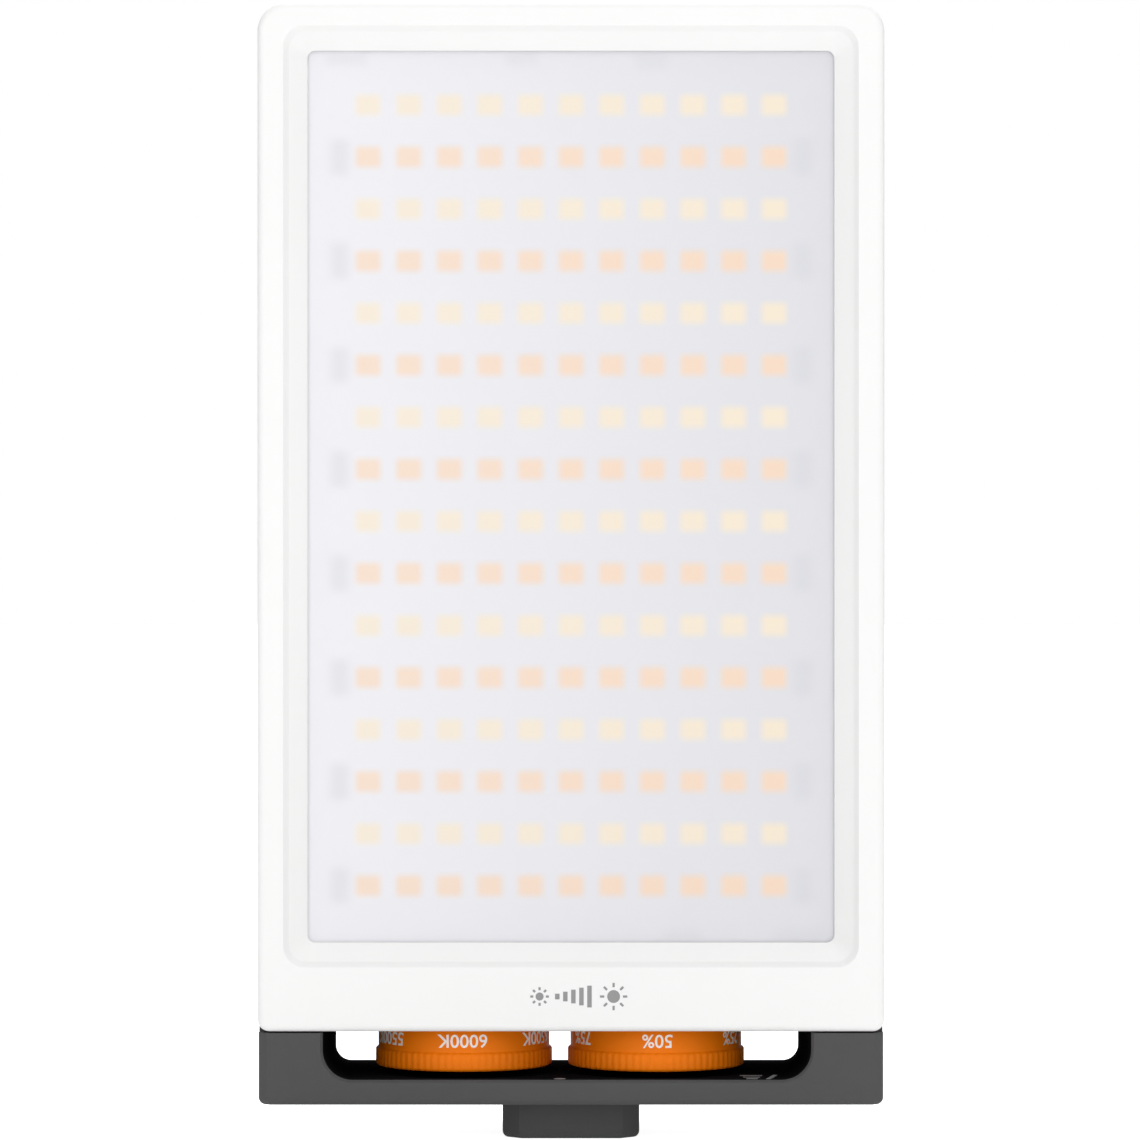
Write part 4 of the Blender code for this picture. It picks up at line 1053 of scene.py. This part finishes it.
# ------ Light engine ------
def make_led_array(name, first_row, glow):
    """Rows of surface-mounted LEDs: white package, phosphor window and tinned ends, on their strips."""
    low, high = extent(name)
    reach = LED_PITCH_X * (LED_COLUMNS - 1) / 2
    rows = [LED_FIRST_ROW + LED_PITCH_Z * row for row in range(first_row, LED_ROWS, 2)]
    base, top = high.y, low.y

    def frustum(bm, x, z, halves, depths, slot):
        """A block that steps through half sizes in X and Z at depths in Y."""
        sections = []
        for (half_x, half_z), y in zip(halves, depths):
            outline = rounded_loop(x - half_x, x + half_x, z - half_z, z + half_z, (0.25,) * 4, 2)
            sections.append([(px, y, pz) for px, pz in outline])
        loft(bm, sections, slot=slot)

    def package(bm, x, z):
        case = ((1.62, 1.34), (1.66, 1.4), (1.6, 1.36))
        window = ((1.45, 1.2), (1.4, 1.15))
        frustum(bm, x, z, case, (base, base - 0.35, top + 0.04), 0)
        frustum(bm, x, z, window, (top + 0.1, top), 1)
        for side in (-1, 1):
            inner, outer = sorted((side * 1.3, side * LED_WIDTH / 2))
            with_slot(bm, 2, (x + inner, base - 0.3, z - 1.1), (x + outer, base - 0.02, z + 1.1))

    def build(bm):
        for z in rows:
            low_corner = (low.x, base - STRIP_THICKNESS, z - STRIP_HALF_HEIGHT)
            with_slot(bm, 3, low_corner, (high.x, base, z + STRIP_HALF_HEIGHT))
            for column in range(LED_COLUMNS):
                package(bm, LED_PITCH_X * column - reach, z)

    obj = shape(f"{name}_packages", build, "package", glow, "solder", "board_white")
    return place_piece(obj, BODY, f"phosphor_{glow}", name)


def make_board_parts():
    """Chip parts beside every warm row, and larger ones along the board's upper and lower edges."""

    def chip(bm, x, z, half_x, half_z, rise, upright):
        """A chip with a tinned cap round each end."""
        front = BOARD_FRONT - rise
        with_slot(bm, 0, (x - half_x, front, z - half_z), (x + half_x, BOARD_FRONT + 0.02, z + half_z))
        for side in (-1, 1):
            if upright:
                low, high = sorted((z + side * half_z * 0.72, z + side * (half_z + 0.05)))
                corners = (x - half_x - 0.03, low), (x + half_x + 0.03, high)
            else:
                low, high = sorted((x + side * half_x * 0.8, x + side * (half_x + 0.05)))
                corners = (low, z - half_z - 0.03), (high, z + half_z + 0.03)
            (left, bottom), (right, top) = corners
            with_slot(bm, 1, (left, front - 0.03, bottom), (right, BOARD_FRONT + 0.01, top))

    def build(bm):
        for row in range(0, LED_ROWS, 2):
            z = LED_FIRST_ROW + row * LED_PITCH_Z + SIDE_CHIP["above_row"]
            for x in (-SIDE_CHIP["x"], SIDE_CHIP["x"]):
                chip(bm, x, z, SIDE_CHIP["half_x"], SIDE_CHIP["half_z"], SIDE_CHIP["rise"], True)
        for x, z, half_x, half_z in EDGE_CHIPS:
            chip(bm, x, z, half_x, half_z, EDGE_CHIP_RISE, False)

    return place_piece(shape("board_parts", build, "resistor", "solder"), BODY, "board_white")


# ------ Side controls and screws ------
def lathe(bm, profile, axis, place, sides=64):
    """A turned body. profile holds radii and heights along the axis; place is its two other coordinates."""
    first, second = place
    sections = []
    for radius, height in profile:
        section = []
        for angle in turns(sides):
            point = [first + radius * math.cos(angle), second + radius * math.sin(angle)]
            point.insert("XYZ".index(axis), height)
            section.append(tuple(point))
        sections.append(section)
    loft(bm, sections)


def make_power_button():
    """Round cap, hollowed a little for the finger, with a stem and a flange inside the case."""
    low, high = extent("power_button")
    top, radius = high.x, BUTTON_RADIUS
    start, end = BUTTON_FLANGE["start"], BUTTON_FLANGE["end"]
    flange = BUTTON_FLANGE["radius"]

    def build(bm):
        stem = [(0.05, low.x), (1.0, low.x), (1.0, start)]
        rim = [(flange, start), (flange, end), (radius, end)]
        edge = [(radius, top - 0.25), (radius - 0.08, top - 0.08), (radius - 0.25, top)]
        hollow = [(2.4, top - 0.05), (1.6, top - 0.16), (0.8, top - 0.22), (0.05, top - 0.24)]
        lathe(bm, stem + rim + edge + hollow, "X", (BUTTON_Y, BUTTON_Z))

    obj = shape("power_button_cap", build, "white")
    return place_piece(obj, "power_button_body", "button_white", "power_button")


def make_power_symbol():
    """The usual power symbol, a broken ring and a bar, printed on the button."""
    top = extent("power_button")[1].x

    def strip(bm, outline):
        depths = (top - 0.4, top - 0.1)
        loft(bm, [[(x, BUTTON_Y + y, BUTTON_Z + z) for y, z in outline] for x in depths])

    def arc(radius):
        start, sweep, steps = POWER_ARC["start"], POWER_ARC["sweep"], POWER_ARC["steps"]
        angles = [math.radians(start + sweep * step / steps) for step in range(steps + 1)]
        return [(radius * math.cos(angle), radius * math.sin(angle)) for angle in angles]

    def build(bm):
        strip(bm, arc(POWER_ARC["outer"]) + arc(POWER_ARC["inner"])[::-1])
        strip(bm, POWER_BAR)

    return place_piece(shape("power_symbol", build, "mark"), "power_button_body", "button_white")


def make_rear_screw(number, place):
    """Pan-head screw with a cross recess."""
    node = f"rear_screw_{number}"
    low, high = extent(node)
    top = high.y

    def build(bm):
        shank = [(0.05, low.y), (0.6, low.y), (1.0, low.y + 0.5), (1.0, top - 1.0)]
        head = [(1.85, top - 1.0), (1.88, top - 0.45), (1.7, top - 0.15), (1.3, top), (0.05, top)]
        lathe(bm, shank + head, "Y", place, 48)

    obj = shape(f"{node}_head", build, "steel")

    def drive(bm):
        x, z = place
        for half_x, half_z in ((1.15, 0.2), (0.2, 1.15)):
            block(bm, (x - half_x, top - 0.6, z - half_z), (x + half_x, top + PAST, z + half_z))

    cut(obj, drive)
    return place_piece(obj, BODY, "screw_steel", node)


def make_usb_contacts():
    """Gold contacts on both faces of the socket's tongue."""
    start, end, half = USB_CONTACT["start"], USB_CONTACT["end"], USB_CONTACT["half_width"]

    def build(bm):
        for number in range(USB_CONTACTS):
            z = USB_Z + USB_CONTACT_PITCH * (number - (USB_CONTACTS - 1) / 2)
            for side in (-1, 1):
                near, far = sorted(USB_Y + side * USB_CONTACT[face] for face in ("inner", "outer"))
                block(bm, (start, near, z - half), (end, far, z + half))

    return place_piece(shape("usb_contacts", build, "gold"), BODY, "port_steel")


# ------ CAD nodes that keep their shape ------
NODE_FINISHES = {
    "frost": ("diffuser",),
    "reflector": ("light_box_frame",),
    "board_white": ("led_board",),
    "pad": ("thermal_pad",),
    "aluminium": ("heat_sink",),
    "black": ("fan_frame", "fan_impeller", "battery_cradle", "power_switch", "switch_plunger"),
    "wrap": ("battery_cell_lower", "battery_cell_upper"),
    "nickel": ("cell_link",),
    "board_green": ("dial_board", "driver_board"),
    "inductor": ("driver_inductor",),
    "clear": ("battery_indicator",),
    "red_wire": ("battery_lead_red",),
    "black_wire": ("battery_lead_black", "fan_lead"),
    "white_wire": ("led_feed",),
    "steel": (
        "cct_shaft",
        "brightness_shaft",
        "cct_potentiometer",
        "brightness_potentiometer",
        "usb_c_port",
        *(f"frame_screw_{number}" for number in (1, 2)),
        *(f"board_screw_{number}" for number in (1, 2, 3, 4)),
        *(f"fan_screw_{number}" for number in (1, 2)),
    ),
}


def finish_cad_nodes():
    """Gives each CAD node that is shown as it is its own material."""
    for material, names in NODE_FINISHES.items():
        for name in names:
            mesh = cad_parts[name].data
            mesh.materials.clear()
            mesh.materials.append(MATERIALS[material])


# ------ Stage ------
def seen_or_not(nodes, links, seen, unseen):
    """A value for what the camera sees directly, and another for the light that falls on the object."""
    path = nodes.new("ShaderNodeLightPath")
    pick = nodes.new("ShaderNodeMapRange")
    pick.inputs["To Max"].default_value = seen
    links.new(path.outputs["Is Camera Ray"], pick.inputs["Value"])
    if isinstance(unseen, float):
        pick.inputs["To Min"].default_value = unseen
    else:
        links.new(unseen, pick.inputs["To Min"])
    return pick.outputs["Result"]


def make_floor():
    """Pale matt floor."""
    pale = (0.8, 0.8, 0.8)
    material, nodes, links, shader = new_material("pale_floor", pale, 0.8)
    vary_colour(nodes, links, shader, noise(nodes, links, 3.0), pale, 0.01)
    glow = seen_or_not(nodes, links, FLOOR_GLOW_SEEN, FLOOR_GLOW_LIGHT)
    links.new(glow, shader.inputs["Emission Strength"])
    shader.inputs["Emission Color"].default_value = (1.0, 1.0, 1.0, 1.0)
    bm = bmesh.new()
    bmesh.ops.create_grid(bm, x_segments=1, y_segments=1, size=FLOOR_HALF_SIZE)
    mesh = bpy.data.meshes.new("floor")
    bm.to_mesh(mesh)
    bm.free()
    mesh.materials.append(material)
    floor = bpy.data.objects.new("floor", mesh)
    floor.location.z = -FLOOR_GAP * MM
    bpy.context.scene.collection.objects.link(floor)


def make_surround():
    """White to look at, and for the object a soft light from a few broad directions, as from soft boxes."""
    world = bpy.data.worlds.new("soft_white")
    world.use_nodes = True
    nodes, links = world.node_tree.nodes, world.node_tree.links
    background = nodes["Background"]
    background.inputs["Color"].default_value = (1.0, 1.0, 1.0, 1.0)
    place = nodes.new("ShaderNodeTexCoord")
    total = nodes.new("ShaderNodeValue").outputs["Value"]
    total.default_value = SURROUND_BASE
    for direction, edge, strength in SURROUND_LIGHTS:
        facing = nodes.new("ShaderNodeVectorMath")
        facing.operation = "DOT_PRODUCT"
        facing.inputs[1].default_value = Vector(direction).normalized()
        links.new(place.outputs["Generated"], facing.inputs[0])
        lobe = ramp(nodes, links, facing.outputs["Value"], edge, 1.0, 0.0, strength, True)
        total = maths(nodes, links, "ADD", total, lobe)
    links.new(seen_or_not(nodes, links, 1.0, total), background.inputs["Strength"])
    bpy.context.scene.world = world


def make_camera():
    """Level camera straight in front of the light."""
    data = bpy.data.cameras.new("camera")
    data.sensor_fit = "HORIZONTAL"
    data.angle = CAMERA_FOV
    data.clip_start = 0.01
    camera = bpy.data.objects.new("camera", data)
    camera.location = Vector(CAMERA_PLACE) * MM
    camera.rotation_euler = (math.pi / 2, 0.0, 0.0)
    bpy.context.scene.collection.objects.link(camera)
    bpy.context.scene.camera = camera
    bpy.context.scene.view_settings.view_transform = "Standard"


def build_scene():
    make_camera()
    make_surround()
    make_floor()
    make_front_housing()
    make_rear_cover()
    make_mark()
    make_end_frame()
    make_frame_print()
    make_tripod_insert()
    for name, x in DIAL_AXES.items():
        make_dial(name, x)
        make_dial_scale(name, x)
    make_led_array("cool_led_array", 1, "cool")
    make_led_array("warm_led_array", 0, "warm")
    make_board_parts()
    make_power_button()
    make_power_symbol()
    for number, place in enumerate(REAR_SCREWS, 1):
        make_rear_screw(number, place)
    make_usb_contacts()
    finish_cad_nodes()


build_scene()
